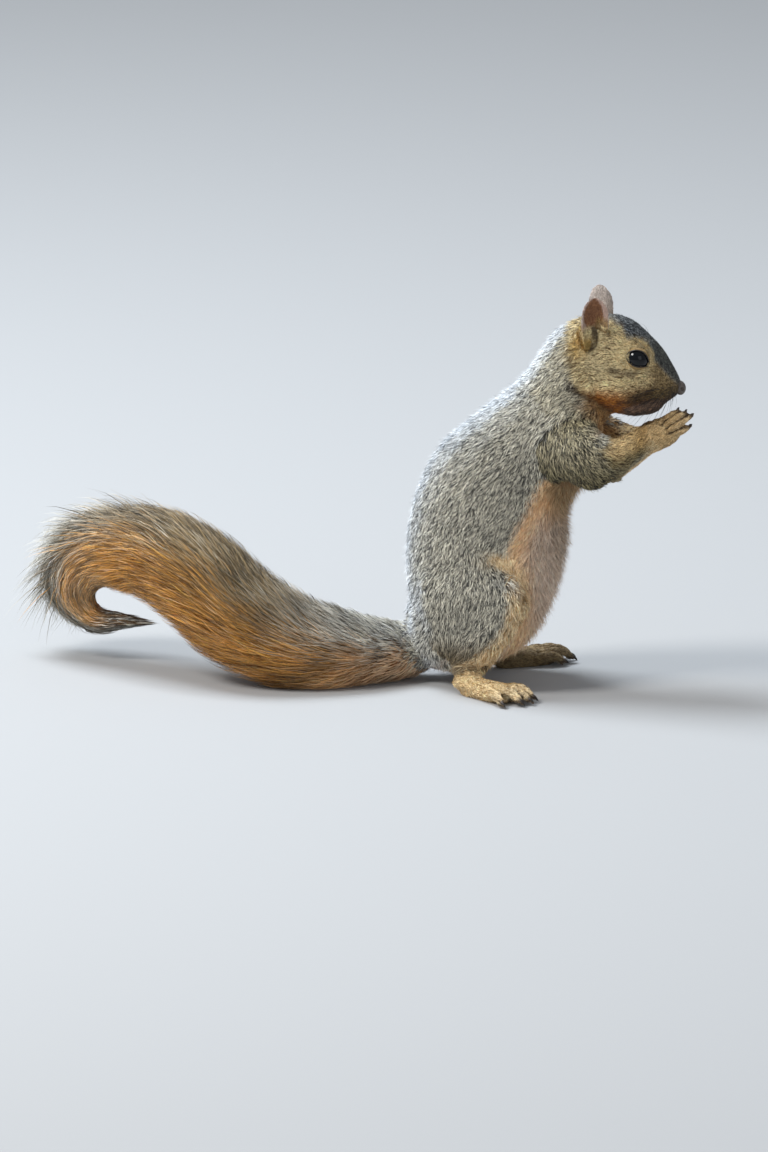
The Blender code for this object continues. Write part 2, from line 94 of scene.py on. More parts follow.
def linear(code: str) -> tuple[float, float, float]:
    """Turn an sRGB hex colour, with its hash, to linear red, green and blue."""
    channels = [int(code[i : i + 2], 16) / 255 for i in (1, 3, 5)]
    return tuple(c / 12.92 if c <= 0.04045 else ((c + 0.055) / 1.055) ** 2.4 for c in channels)


def ramp(low: float, high: float, value: Array) -> Array:
    """Rise smoothly from 0, where the value is low, to 1, where it is high; low may be the larger."""
    share = np.clip((value - low) / (high - low), 0, 1)
    return share * share * (3 - 2 * share)


def blend(start: Array, end: Array, share: Array) -> Array:
    """Go from one value towards another by a share of the way."""
    return start + (end - start) * share


def unit(vectors: Array) -> Array:
    """Scale each row to length 1."""
    return vectors / np.maximum(np.linalg.norm(vectors, axis=-1, keepdims=True), 1e-9)


def circle(count: int) -> Array:
    """Give evenly spaced angles round one turn."""
    return np.linspace(0, 2 * math.pi, count, endpoint=False)


def spot(x: Array, z: Array, centre: tuple, reach: tuple) -> Array:
    """Fade from 1 at a place in side view; at its reach about a third is left."""
    return np.exp(-(((x - centre[0]) / reach[0]) ** 2) - ((z - centre[1]) / reach[1]) ** 2)


def add_node(tree: bpy.types.NodeTree, kind: str, settings: dict, links: dict) -> bpy.types.Node:
    """Add one node with its settings and links.

    Args:
        tree: The node tree.
        kind: The node's type name.
        settings: Values by property name, or by input name or number.
        links: Output sockets by the input's name or number.

    Returns:
        The node.
    """
    node = tree.nodes.new(kind)
    for name, value in settings.items():
        if isinstance(name, str) and hasattr(node, name):
            setattr(node, name, value)
        else:
            node.inputs[name].default_value = value
    for name, source in links.items():
        tree.links.new(source, node.inputs[name])
    return node


def smoothed(values: Array, edges: Array, rounds: int, share: Array) -> Array:
    """Even out per-point values over a mesh.

    Args:
        values: One row for each point.
        edges: Pairs of point numbers.
        rounds: How many times each point moves towards its neighbours' mean.
        share: How far it moves each time, for each point.

    Returns:
        The evened values.
    """
    values = values.astype(float).copy()
    count = np.bincount(edges.ravel(), minlength=len(values)).clip(1)
    for _ in range(rounds):
        mean = np.empty_like(values)
        for column in range(values.shape[1]):
            total = np.bincount(edges[:, 0], values[edges[:, 1], column], len(values))
            total += np.bincount(edges[:, 1], values[edges[:, 0], column], len(values))
            mean[:, column] = total / count
        values = blend(values, mean, share[:, None])
    return values


def curve_points(stations: Array, steps: Array) -> Array:
    """Read a smooth curve through stations.

    Args:
        stations: Rows of values, one for each station.
        steps: Places along it, counted in stations, which may run past either end.

    Returns:
        One row for each place.
    """
    last = len(stations) - 1
    padded = np.vstack([2 * stations[0] - stations[1], stations, 2 * stations[-1] - stations[-2]])
    cell = np.clip(np.floor(steps).astype(int), 0, last - 1)
    t = (steps - cell)[:, None]
    a, b, c, d = (padded[cell + k] for k in range(4))
    bend, twist = 2 * a - 5 * b + 4 * c - d, 3 * b - a - 3 * c + d
    inside = 0.5 * (2 * b + (c - a) * t + bend * t**2 + twist * t**3)
    end_slope = stations[-1] - stations[-2]
    return np.where(t > 1.0, stations[-1] + end_slope * (t - 1), inside)


@dataclass(frozen=True)
class Space:
    """Body space's place in the frame."""

    origin: Array

    def to_frame(self, points: Array) -> Array:
        """Turn body-space points, in millimetres, to the frame's metres."""
        return np.asarray(points, float) * MM + self.origin

    def to_body(self, points: Array) -> Array:
        """Turn the frame's points to body space."""
        return (np.asarray(points, float) - self.origin) / MM


def space_of_eye() -> Space:
    """Find body space from the left eye's box."""
    low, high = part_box("eye_left")
    return Space((np.array(low) + np.array(high)) / 2 - np.array(EYE_PLACE) * MM)


# --- Meshes ---


def mesh_arrays(mesh: bpy.types.Mesh) -> tuple[Array, Array]:
    """Read a mesh's points and triangles.

    Args:
        mesh: The mesh.

    Returns:
        Points, and triangles as rows of point numbers.
    """
    points = np.empty(len(mesh.vertices) * 3)
    mesh.vertices.foreach_get("co", points)
    mesh.calc_loop_triangles()
    triangles = np.empty(len(mesh.loop_triangles) * 3, int)
    mesh.loop_triangles.foreach_get("vertices", triangles)
    return points.reshape(-1, 3), triangles.reshape(-1, 3)


def point_normals(points: Array, triangles: Array) -> Array:
    """Work out area-weighted normals at the points.

    Args:
        points: The points.
        triangles: Rows of point numbers.

    Returns:
        Unit normals.
    """
    corners = points[triangles]
    faces = np.cross(corners[:, 1] - corners[:, 0], corners[:, 2] - corners[:, 0])
    normals = np.zeros_like(points)
    for axis in range(3):
        for corner in range(3):
            normals[:, axis] += np.bincount(triangles[:, corner], faces[:, axis], len(points))
    return unit(normals)


def new_mesh_object(name: str, points: Array, faces: list[Array], look: Look) -> Piece:
    """Make an object from arrays.

    Args:
        name: The object's name.
        points: Points in metres.
        faces: Arrays of faces; each array holds faces with one number of corners.
        look: Its material.

    Returns:
        The object.
    """
    mesh = bpy.data.meshes.new(name)
    mesh.vertices.add(len(points))
    mesh.vertices.foreach_set("co", np.asarray(points, np.float32).ravel())
    corners = np.concatenate([f.ravel() for f in faces]).astype(np.int32)
    sizes = np.concatenate([np.full(len(f), f.shape[1]) for f in faces])
    starts = np.concatenate([[0], np.cumsum(sizes)[:-1]]).astype(np.int32)
    mesh.loops.add(len(corners))
    mesh.loops.foreach_set("vertex_index", corners)
    mesh.polygons.add(len(sizes))
    mesh.polygons.foreach_set("loop_start", starts)
    mesh.polygons.foreach_set("use_smooth", np.ones(len(sizes), bool))
    mesh.update(calc_edges=True)
    mesh.materials.append(look)
    piece = bpy.data.objects.new(name, mesh)
    bpy.context.scene.collection.objects.link(piece)
    return piece


def paint(piece: Piece, colours: Array) -> None:
    """Store a linear colour for each point.

    Args:
        piece: The object.
        colours: One row of red, green and blue for each point.
    """
    layer = piece.data.color_attributes.new(COLOUR_LAYER, "FLOAT_COLOR", "POINT")
    rows = np.ones((len(colours), 4), np.float32)
    rows[:, :3] = np.clip(colours, 0, 1)
    layer.data.foreach_set("color", rows.ravel())


def lay_bake_map(piece: Piece, places: Array) -> None:
    """Store the bake map from one place for each point.

    Args:
        piece: The object.
        places: One pair of map coordinates for each point.
    """
    corners = np.empty(len(piece.data.loops), np.int32)
    piece.data.loops.foreach_get("vertex_index", corners)
    layer = piece.data.uv_layers.new(name=BAKE_MAP)
    layer.data.foreach_set("uv", places[corners].astype(np.float32).ravel())


def grid_faces(rows: int, columns: int, flip: bool) -> Array:
    """Join rings of points with quads.

    Args:
        rows: How many rings.
        columns: Points in each ring.
        flip: Turn the faces over.

    Returns:
        Rows of four point numbers.
    """
    here = np.arange(columns)
    following = (here + 1) % columns
    quad = np.column_stack([here, following, following + columns, here + columns])
    faces = np.vstack([quad + ring * columns for ring in range(rows - 1)])
    return faces[:, ::-1] if flip else faces


def closed_faces(rows: int, columns: int) -> list[Array]:
    """Join rings of points with quads, and close both ends to the two points that follow them.

    Args:
        rows: How many rings.
        columns: Points in each ring.

    Returns:
        The quads and the triangles.
    """
    here = np.arange(columns)
    following = (here + 1) % columns
    top, last = (rows - 1) * columns, rows * columns
    foot = np.column_stack([following, here, np.full(columns, last)])
    head = np.column_stack([here + top, following + top, np.full(columns, last + 1)])
    return [grid_faces(rows, columns, False), np.vstack([foot, head])]


def tube(line: Array, radii: Array, sides: int) -> tuple[Array, list[Array]]:
    """Build a round tube along a line, closed at both ends.

    Args:
        line: Points along the middle.
        radii: The radius at each point.
        sides: How many sides it has.

    Returns:
        Points, and arrays of faces.
    """
    along = unit(np.gradient(line, axis=0))
    across = np.cross(along[0], (0.3, 0.2, 0.93))
    rings = []
    for place, way, radius in zip(line, along, radii):
        across = unit(across - way * (across @ way))
        other = np.cross(way, across)
        turn = circle(sides)[:, None]
        rings.append(place + radius * (np.cos(turn) * across + np.sin(turn) * other))
    points = np.vstack([*rings, line[:1], line[-1:]])
    return points, closed_faces(len(line), sides)


def halved(quads: Array) -> Array:
    """Cut quads into triangles."""
    return np.vstack([quads[:, [0, 1, 2]], quads[:, [0, 2, 3]]])


def ellipsoid(centre: Array, radii: Array) -> tuple[Array, Array]:
    """Make an ellipsoid.

    Args:
        centre: Its centre.
        radii: Its three radii.

    Returns:
        Points and triangles.
    """
    heights = np.sin(np.linspace(-1.5, 1.5, 15))
    line = np.outer(heights, (0.0, 0.0, 1.0))
    points, (quads, caps) = tube(line, np.sqrt(1 - heights**2), 24)
    return centre + points * radii, np.vstack([halved(quads), caps])


# --- Finishes ---


def new_finish(name: str, values: dict) -> tuple[Look, bpy.types.NodeTree, bpy.types.Node]:
    """Start a material with its shader's own values.

    Args:
        name: The material's name.
        values: The shader's values by input name.

    Returns:
        The material, its node tree and its shader.
    """
    look = bpy.data.materials.new(name)
    look.use_nodes = True
    shader = look.node_tree.nodes["Principled BSDF"]
    for socket, value in values.items():
        shader.inputs[socket].default_value = value
    return look, look.node_tree, shader


@dataclass(frozen=True)
class Coat:
    """Guard hairs over underfur: a soft, slightly oily gloss along each hair."""

    name: str
    roughness: float = 0.55
    specular: float = 0.28
    sheen: float = 0.12
    grain_mm: float = 2.5  # its mottling, which is as wide as a few tufts
    detail: float = 3.0
    tones: tuple = (0.86, 1.12)  # its darkest and lightest shade
    grain_depth_mm: float = 0.0

    def build(self) -> Look:
        """Make the material, which takes its markings from the colour layer.

        Returns:
            The material.
        """
        values = {"Roughness": self.roughness, "Sheen Weight": self.sheen}
        look, tree, shader = new_finish(self.name, {**values, "Specular IOR Level": self.specular})
        marks = add_node(tree, "ShaderNodeVertexColor", {"layer_name": COLOUR_LAYER}, {})
        place = add_node(tree, "ShaderNodeTexCoord", {}, {})
        size = {"Scale": 1 / (self.grain_mm * MM), "Detail": self.detail}
        grain = add_node(tree, "ShaderNodeTexNoise", size, {"Vector": place.outputs["Object"]})
        span = {"From Min": 0.3, "From Max": 0.7, "To Min": self.tones[0], "To Max": self.tones[1]}
        level = add_node(tree, "ShaderNodeMapRange", span, {"Value": grain.outputs["Fac"]})
        links = {0: marks.outputs["Color"], "Scale": level.outputs["Result"]}
        tone = add_node(tree, "ShaderNodeVectorMath", {"operation": "SCALE"}, links)
        tree.links.new(tone.outputs["Vector"], shader.inputs["Base Color"])
        if self.grain_depth_mm > 0.0:
            relief = {"Strength": 0.6, "Distance": self.grain_depth_mm * MM}
            bump = add_node(tree, "ShaderNodeBump", relief, {"Height": grain.outputs["Fac"]})
            tree.links.new(bump.outputs["Normal"], shader.inputs["Normal"])
        return look


@dataclass(frozen=True)
class DownySkin(Coat):
    """Living skin under short down: matt, with a fine nap that breaks up the light."""

    roughness: float = 0.7
    specular: float = 0.25
    sheen: float = 0.0
    grain_mm: float = 0.9  # the nap, drawn about three times as coarse as down, so that it shows
    detail: float = 2.0
    tones: tuple = (0.78, 1.18)
    grain_depth_mm: float = 0.25


@dataclass(frozen=True)
class Smooth:
    """A surface of one colour, with no grain that shows at this size."""

    name: str
    colour: str
    roughness: float
    ior: float = 1.5

    def build(self) -> Look:
        """Make the material."""
        values = {"Base Color": (*linear(self.colour), 1.0), "Roughness": self.roughness, "IOR": self.ior}
        return new_finish(self.name, values)[0]


@dataclass(frozen=True)
class WetEye(Smooth):
    """A rodent's eye: near-black iris under a wet cornea, which mirrors the sky sharply."""

    name: str = "wet_cornea_over_black_iris"
    colour: str = "#07080c"
    roughness: float = 0.04
    ior: float = 1.38


@dataclass(frozen=True)
class Bristle(Smooth):
    """A whisker: one stiff dark hair, smooth enough to catch a thin line of light."""

    name: str = "whisker_keratin"
    colour: str = "#15110f"
    roughness: float = 0.4


@dataclass(frozen=True)
class BareSkin:
    """Bare, thick skin such as a nose pad or lid rim: dark, pebbled and faintly damp."""

    name: str
    light: str
    dark: str
    roughness: float
    pebble_mm: float  # drawn about twice as wide as real pebbling, so that it shows
    pebble_depth_mm: float = 0.12

    def build(self) -> Look:
        """Make the material.

        Returns:
            The material.
        """
        look, tree, shader = new_finish(self.name, {"Roughness": self.roughness})
        place = add_node(tree, "ShaderNodeTexCoord", {}, {})
        size = {"Scale": 1 / (self.pebble_mm * MM)}
        pebble = add_node(tree, "ShaderNodeTexVoronoi", size, {"Vector": place.outputs["Object"]})
        ends = {"data_type": "RGBA", 6: (*linear(self.light), 1.0), 7: (*linear(self.dark), 1.0)}
        tone = add_node(tree, "ShaderNodeMix", ends, {0: pebble.outputs["Distance"]})
        relief = {"Strength": 0.7, "Distance": self.pebble_depth_mm * MM, "invert": True}
        bump = add_node(tree, "ShaderNodeBump", relief, {"Height": pebble.outputs["Distance"]})
        tree.links.new(tone.outputs[2], shader.inputs["Base Color"])
        tree.links.new(bump.outputs["Normal"], shader.inputs["Normal"])
        return look


@dataclass(frozen=True)
class Horn:
    """Keratin of a claw: dark, grown in fine rings, and polished by use."""

    name: str = "claw_keratin"
    roughness: float = 0.32
    ior: float = 1.54
    ring_mm: float = 0.35  # drawn coarser than a claw's growth rings, so that they show
    ring_depth_mm: float = 0.05

    def build(self) -> Look:
        """Make the material, which takes its root-to-tip tone from the colour layer.

        Returns:
            The material.
        """
        look, tree, shader = new_finish(self.name, {"Roughness": self.roughness, "IOR": self.ior})
        marks = add_node(tree, "ShaderNodeVertexColor", {"layer_name": COLOUR_LAYER}, {})
        place = add_node(tree, "ShaderNodeTexCoord", {}, {})
        size = {"Scale": 1 / (self.ring_mm * MM), "Detail": 1.0}
        rings = add_node(tree, "ShaderNodeTexNoise", size, {"Vector": place.outputs["Object"]})
        relief = {"Strength": 0.25, "Distance": self.ring_depth_mm * MM}
        bump = add_node(tree, "ShaderNodeBump", relief, {"Height": rings.outputs["Fac"]})
        tree.links.new(marks.outputs["Color"], shader.inputs["Base Color"])
        tree.links.new(bump.outputs["Normal"], shader.inputs["Normal"])
        return look


# --- Markings ---


@dataclass(frozen=True)
class Shade:
    """A patch of coat: light and dark hairs, the share of light ones, and the underfur."""

    light: str
    dark: str
    share: float
    under: str


class Zone(Enum):
    """The coat's patches."""

    GRIZZLE = Shade("#f1f6fb", "#404449", 0.60, "#42454a")
    OLIVE = Shade("#d6c79e", "#37342a", 0.54, "#3a362a")
    # ELBOW is dark olive, laid mostly as painted shade on the shoulder and low on the arm.
    ELBOW = Shade("#93865c", "#272318", 0.42, "#2a261b")
    ARM_GOLD = Shade("#cfa765", "#6e5230", 0.60, "#6a5030")
    CROWN = Shade("#c0c5c6", "#25292c", 0.28, "#2a2d2f")
    BRIDGE = Shade("#88887e", "#343432", 0.42, "#363532")
    CHEEK = Shade("#ffe8b2", "#8c6c42", 0.70, "#927044")
    CHEEK_LOW = Shade("#cc822e", "#824818", 0.64, "#744014")
    EYE_RING = Shade("#f0dcaa", "#bf9c64", 0.80, "#a88652")
    MUZZLE = Shade("#ccac76", "#544632", 0.50, "#52452f")
    UPPER_LIP = Shade("#86704a", "#40341f", 0.42, "#3e3322")
    JAW = Shade("#8a705c", "#3e312a", 0.42, "#3e322a")
    LIP = Shade("#b08c74", "#66503e", 0.60, "#604a3c")
    THROAT = Shade("#ddb177", "#946a3a", 0.60, "#876034")
    BELLY = Shade("#f7e3cf", "#c3a68c", 0.80, "#b3977e")
    BELLY_EDGE = Shade("#ffd6a2", "#e0a870", 0.86, "#d0935c")
    BAND = Shade("#fbe2b6", "#c69c66", 0.68, "#b08856")
    NAPE_GOLD = Shade("#dcb45c", "#8c6c34", 0.66, "#80622c")
    PAW = Shade("#fae0ae", "#c0955a", 0.68, "#bc945c")
    TOE = Shade("#ecd8b0", "#c4a478", 0.74, "#b3986c")
    EAR_INSIDE = Shade("#b27e58", "#7a5036", 0.55, "#7a5238")
    EAR_BACK = Shade("#e8dcd4", "#a89a90", 0.6, "#b4a698")
    EAR_RIM = Shade("#e0c4b4", "#bfa090", 0.7, "#c8a898")
    ANKLE = Shade("#8a7550", "#4a402e", 0.45, "#463c2a")
    # CREASE is painted shade in creases, the ears' slits and between the digits; it also marks the digits'
    # own dark ends.
    CREASE = Shade("#4a3222", "#2a1d14", 0.5, "#22160f")


@dataclass(frozen=True)
class Fleece:
    """A part's nodes and coat, in millimetres, with tufts for each square one and the strokes it follows."""

    node: str
    depth: float
    length: float
    width: float
    density: float
    lie: str


class Part(Enum):
    """The body's parts."""

    TRUNK = Fleece("trunk", 4.6, 6.4, 0.46, 4.6, "body")
    NECK = Fleece("neck", 4.2, 6.0, 0.45, 4.8, "body")
    HEAD = Fleece("head", 2.2, 3.7, 0.42, 6.4, "body")
    NOSE = Fleece("nose", 0.3, 1.2, 0.20, 2.0, "body")
    TAIL = Fleece("tail", 2.0, 9.0, 0.74, 2.6, "tail")
    EAR = Fleece("ear", 0.25, 1.8, 0.26, 8.0, "ear")
    UPPER_ARM = Fleece("upper_arm", 3.8, 5.8, 0.44, 4.8, "arm")
    FOREARM = Fleece("forearm", 1.9, 4.4, 0.42, 5.9, "arm")
    HAND = Fleece("hand", 0.35, 1.7, 0.26, 8.0, "hand")
    THIGH = Fleece("thigh", 4.4, 6.2, 0.46, 4.5, "leg")
    SHANK = Fleece("shank", 2.6, 5.4, 0.48, 4.9, "leg")
    FOOT = Fleece("foot", 0.7, 2.8, 0.32, 6.2, "foot")


PARTS = list(Part)


def part_number(part: Part) -> int:
    """Give a part's number in the per-point arrays."""
    return PARTS.index(part)


@dataclass
class Roots:
    """Places on the skin: point, normal, part and side, for each."""

    points: Array
    normals: Array
    parts: Array
    sides: Array

    def on(self, *names: Part) -> Array:
        """Tell which places are on the named parts, as 0 or 1."""
        return np.isin(self.parts, [part_number(n) for n in names]).astype(float)

    def take(self, chosen: Array) -> "Roots":
        """Take some of the places."""
        return Roots(self.points[chosen], self.normals[chosen], self.parts[chosen], self.sides[chosen])


@dataclass
class Pattern:
    """The coat's markings at some places: light and dark hair, the light hairs' share, and underfur."""

    roots: Roots
    # Height and x of the line between back and belly on the trunk's side.
    belly_line: tuple = (
        (0, 20, 40, 60, 80, 97, 124, 140, 155, 170),
        (10, 14, 22, 24, 22, 26, 38, 53, 70, 76),
    )
    # Height and x of the thigh's front edge.
    thigh_front: tuple = ((0, 10, 20, 35, 45, 57, 70, 82), (2, 5, 13, 29, 35, 37.5, 35.5, 24))
    # x and height of the line between crown and cheek, and between muzzle and jaw.
    crown_line: tuple = (
        (60, 72, 79, 86, 89, 95, 99, 102, 106, 112, 118),
        (213, 215, 214.5, 210.5, 205.5, 203.8, 202, 195, 190, 182.5, 176),
    )
    jaw_line: tuple = ((80, 84, 88, 98, 106, 113), (156, 163, 169, 171, 171.5, 172.5))
    # Height and x of the cheek's rear edge.
    cheek_rear: tuple = ((158, 165, 167, 172, 177, 185, 195, 205), (82, 77, 74, 68, 61.5, 59, 58, 56))
    lip: tuple = ((91, 11, 166), (98, 9, 166.5), (104, 6, 168.3))
    heel: tuple = ((-3.0, 29.0), (-10.5, 32.0))  # left and right, x and outward
    light: Array = field(init=False)
    dark: Array = field(init=False)
    under: Array = field(init=False)
    share: Array = field(init=False)

    def __post_init__(self) -> None:
        """Start grizzled all over, then mark each region."""
        count, base = len(self.roots.points), Zone.GRIZZLE.value
        codes = (base.light, base.dark, base.under)
        self.light, self.dark, self.under = (np.tile(linear(code), (count, 1)) for code in codes)
        self.share = np.full(count, base.share)
        for mark in (self.body, self.limbs, self.head, self.ears):
            mark()

    def paint(self, zone: Zone, mask: Array) -> None:
        """Blend a zone in.

        Args:
            zone: The zone.
            mask: How much of it there is at each place, from 0 to 1.
        """
        mask, shade = np.clip(mask, 0, 1), zone.value
        self.light = blend(self.light, linear(shade.light), mask[:, None])
        self.dark = blend(self.dark, linear(shade.dark), mask[:, None])
        self.under = blend(self.under, linear(shade.under), mask[:, None])
        self.share = blend(self.share, shade.share, mask)

    def body(self) -> None:
        """Mark back, flanks, belly and throat."""
        x, y, z = self.roots.points.T
        on, lay = self.roots.on, self.paint
        outward = np.abs(self.roots.normals[:, 1])
        # Painted light: places that face up, down, forward or back rather than sideways, such as the back,
        # get more light hairs, and the neck gets more again, as if lit by the sky.
        self.share += 0.08 * ramp(0.8, 0.3, outward) + 0.08 * on(Part.NECK)
        lay(Zone.OLIVE, 0.65 * ramp(0.25, 0.95, outward))
        torso = on(Part.TRUNK, Part.NECK)
        # Painted light: more light hairs high on the back and neck, where the sky lights them.
        self.share += 0.12 * torso * ramp(140, 165, z) * ramp(62, 52, x)
        past = x - np.interp(z, *self.belly_line)
        belly = torso * ramp(-2, 4, past)
        below = torso * ramp(-0.35, -0.75, self.roots.normals[:, 2]) * ramp(60, 40, z) * ramp(-25, -10, x)
        lay(Zone.BELLY, np.maximum(belly, below))
        edge = belly * np.maximum(ramp(14, 3, past), ramp(96, 116, z))
        lay(Zone.BELLY_EDGE, 0.9 * edge)
        near = np.clip(torso + on(Part.HEAD), 0, 1)
        lay(Zone.OLIVE, 0.3 * on(Part.NECK, Part.UPPER_ARM) * ramp(0.5, 0.9, outward))
        near = np.clip(near + on(Part.UPPER_ARM) * ramp(150, 156, z), 0, 1)
        lay(Zone.THROAT, near * ramp(63.5, 69.5, x) * ramp(178, 170, z))
        chest = ramp(52, 58, x) * ramp(18, 12, np.abs(y)) * ramp(138, 146, z) * ramp(178, 170, z)
        lay(Zone.THROAT, near * chest)
        pit = spot(x, z, (67, 166), (5, 7)) * ramp(14, 18, np.abs(y))
        lay(Zone.ARM_GOLD, 0.8 * near * pit)

    def limbs(self) -> None:
        """Mark thighs, shanks, feet, arms and hands."""
        x, y, z = self.roots.points.T
        on, lay = self.roots.on, self.paint
        side = np.abs(y)
        leg = on(Part.THIGH, Part.SHANK)
        front = np.interp(z, *self.thigh_front) - x
        lay(Zone.ANKLE, 0.9 * leg * ramp(42, 22, z))
        flank = on(Part.TRUNK) * ramp(24, 31, side) * ramp(88, 80, z) * ramp(8, 16, x)
        lay(Zone.BAND, (leg + flank) * ramp(17, 10, front) * ramp(10, 24, z))
        fold = np.exp(-(((x - 18) / 9) ** 2) - ((z - 80 + 0.15 * (x - 18)) / 4) ** 2)
        lay(Zone.BAND, 0.9 * on(Part.TRUNK, Part.THIGH) * fold * ramp(20, 30, side))
        inward, upward = -self.roots.normals[:, 1] * np.sign(y), self.roots.normals[:, 2]
        inner = ramp(0, 0.6, inward)
        lay(Zone.BELLY, leg * inner * ramp(-10, 5, x) * ramp(27, 20, side))
        lay(Zone.ANKLE, 0.7 * on(Part.SHANK) * ramp(30, 20, z) * ramp(14, 4, x))
        lay(Zone.PAW, on(Part.SHANK) * ramp(15, 9, z))
        lay(Zone.PAW, on(Part.FOOT, Part.HAND))
        heel_x, heel_y = (np.where(y > 0, *both) for both in zip(*self.heel))
        reach = np.hypot(x - heel_x, side - heel_y)
        lay(Zone.TOE, 0.75 * on(Part.FOOT) * ramp(34, 50, reach))
        # Painted shade: the feet's inner faces and the whole left foot turn darker brown, as if in the
        # body's shadow.
        lay(Zone.ANKLE, 0.65 * on(Part.FOOT) * ramp(0.1, 0.7, inward))
        lay(Zone.ANKLE, 0.6 * on(Part.FOOT) * ramp(5, 15, y))
        lay(Zone.ARM_GOLD, 0.4 * on(Part.HAND))
        lay(Zone.TOE, 0.45 * on(Part.HAND) * ramp(110, 121, x))
        arm = on(Part.UPPER_ARM, Part.FOREARM)
        gold = ramp(66, 71, x) * ramp(149, 155, z)
        lay(Zone.OLIVE, 0.5 * arm * (1 - gold))
        # Partly the arm's own olive, partly painted shade: elbow colour darkens the arm and the patch on the
        # shoulder.
        top = spot(x, z, (60, 160), (8, 7)) * ramp(18, 24, side)
        lay(Zone.ELBOW, 0.35 * arm * (1 - gold) + 0.2 * top)
        lay(Zone.OLIVE, 0.9 * top)
        # Painted shade under the arm: it grows darker downward, on the arm and on the trunk beside it.
        beside = 0.6 * on(Part.TRUNK) * ramp(40, 50, x)
        lay(Zone.ELBOW, 0.9 * (arm + beside) * ramp(148, 124, z))
        lay(Zone.THROAT, arm * inner * ramp(0.1, 0.8, inner))
        forearm = on(Part.FOREARM)
        lay(Zone.ARM_GOLD, forearm * ramp(-0.35, 0.3, upward) * ramp(70, 82, x))
        lay(Zone.CHEEK, 0.55 * forearm * ramp(-0.55, 0.35, upward) * ramp(70, 78, x) * ramp(98, 86, x))
        lay(Zone.BAND, 0.85 * forearm * ramp(-0.35, -0.7, upward) * ramp(72, 84, x))
        lay(Zone.ELBOW, 0.75 * forearm * np.exp(-(((upward - 0.02) / 0.30) ** 2)))
        lay(Zone.PAW, 0.8 * forearm * ramp(94, 104, x))
        self.digits()

    def digits(self) -> None:
        """Paint shade into the gaps between the digits, and darken their ends."""
        on, lay = self.roots.on, self.paint
        for part, digits in ((Part.HAND, HANDS), (Part.FOOT, FEET)):
            gap, ahead = digits.gaps(self.roots)
            # Painted shade in the furrows between the digits.
            lay(Zone.CREASE, on(part) * 0.85 * ramp(1.3, 0.3, gap))
            lay(Zone.CREASE, on(part) * 0.8 * ramp(-2.6, -0.6, ahead))

    def head(self) -> None:
        """Mark cheeks, crown, muzzle, jaw and the rings round the eyes."""
        x, y, z = self.roots.points.T
        on, lay = self.roots.on, self.paint
        head = on(Part.HEAD, Part.NOSE)
        near = np.clip(head + on(Part.NECK), 0, 1)
        rear = x - np.interp(z, *self.cheek_rear)
        face = near * ramp(-2.5, 3.5, rear) * ramp(158, 163, z)
        lay(Zone.CHEEK, face)
        lay(Zone.OLIVE, 0.5 * face * ramp(36, 12, rear) * ramp(178, 190, z))
        lay(Zone.CHEEK_LOW, face * ramp(181, 171, z))
        gold = spot(x, z, (60.5, 204), (6, 8)) * ramp(10, 16, np.abs(y))
        lay(Zone.NAPE_GOLD, 1.2 * near * gold)
        over = z - np.interp(x, *self.crown_line)
        crown = near * ramp(-2.5, 2, over) * ramp(60, 74, x)
        lay(Zone.MUZZLE, head * 0.9 * ramp(97, 107, x) * ramp(3, -4, over))
        lay(Zone.CROWN, crown)
        lay(Zone.BRIDGE, crown * ramp(95, 104, x))
        under = np.interp(x, *self.jaw_line) - z
        # The jaw below the mouth line: brownish, darkened with painted shade under the muzzle.
        lay(Zone.JAW, head * ramp(-1, 2, under) * ramp(84, 90, x))
        lay(Zone.UPPER_LIP, 0.85 * head * ramp(86, 94, x) * ramp(181, 174, z) * ramp(1, -1, under))
        mirrored = np.stack([x, np.abs(y), z], 1)
        gap = segment_reach(mirrored, np.array(self.lip, float))[0]
        lay(Zone.LIP, head * 0.7 * ramp(4.2, 1.5, gap))
        mound = near * spot(x, z, (67.5, 206), (8.5, 7.5))
        lay(Zone.EYE_RING, 1.1 * mound * ramp(12, 17, np.abs(y)))
        away = mirrored - np.array(EYE_PLACE)
        reach = np.linalg.norm(away * (0.86, 1.0, 1.0), axis=1)
        wide = 9.2 + 0.8 * ramp(-2, 5, away[:, 2])
        lay(Zone.EYE_RING, head * ramp(wide + 1, wide - 1, reach))
        marked = np.clip(near + on(Part.EAR), 0, 1)
        for gap, half, strength in crease_gaps(self.roots.points):
            lay(Zone.CREASE, marked * strength * ramp(2 * half, 0.4 * half, gap))

    def ears(self) -> None:
        """Mark the backs, insides and rims of the ears."""
        lay, ear = self.paint, self.roots.on(Part.EAR)
        across, along, forward = EAR.local(self.roots)
        lay(Zone.EAR_BACK, ear)
        hollow = np.hypot((across + 0.10) / 0.74, (along - 0.67) / 0.30)
        inside = ramp(-0.1, 0.25, forward)
        lay(Zone.EAR_RIM, ear * inside)
        lay(Zone.EAR_INSIDE, ear * inside * ramp(1.08, 0.92, hollow))
        lay(Zone.ARM_GOLD, 0.8 * ear * inside * ramp(0, 0.3, across) * ramp(0.66, 0.52, along))
        lay(Zone.CHEEK, ear * ramp(0.50, 0.36, along))
        lay(Zone.NAPE_GOLD, ear * ramp(0.30, 0.18, along) * 0.8)
        # Painted shade in the slit low in the ear's notch.
        slit = ear * ramp(-0.2, 0.2, forward) * ramp(0.30, 0.10, np.abs(across - 0.02))
        lay(Zone.CREASE, 0.95 * slit * ramp(0.44, 0.34, along))


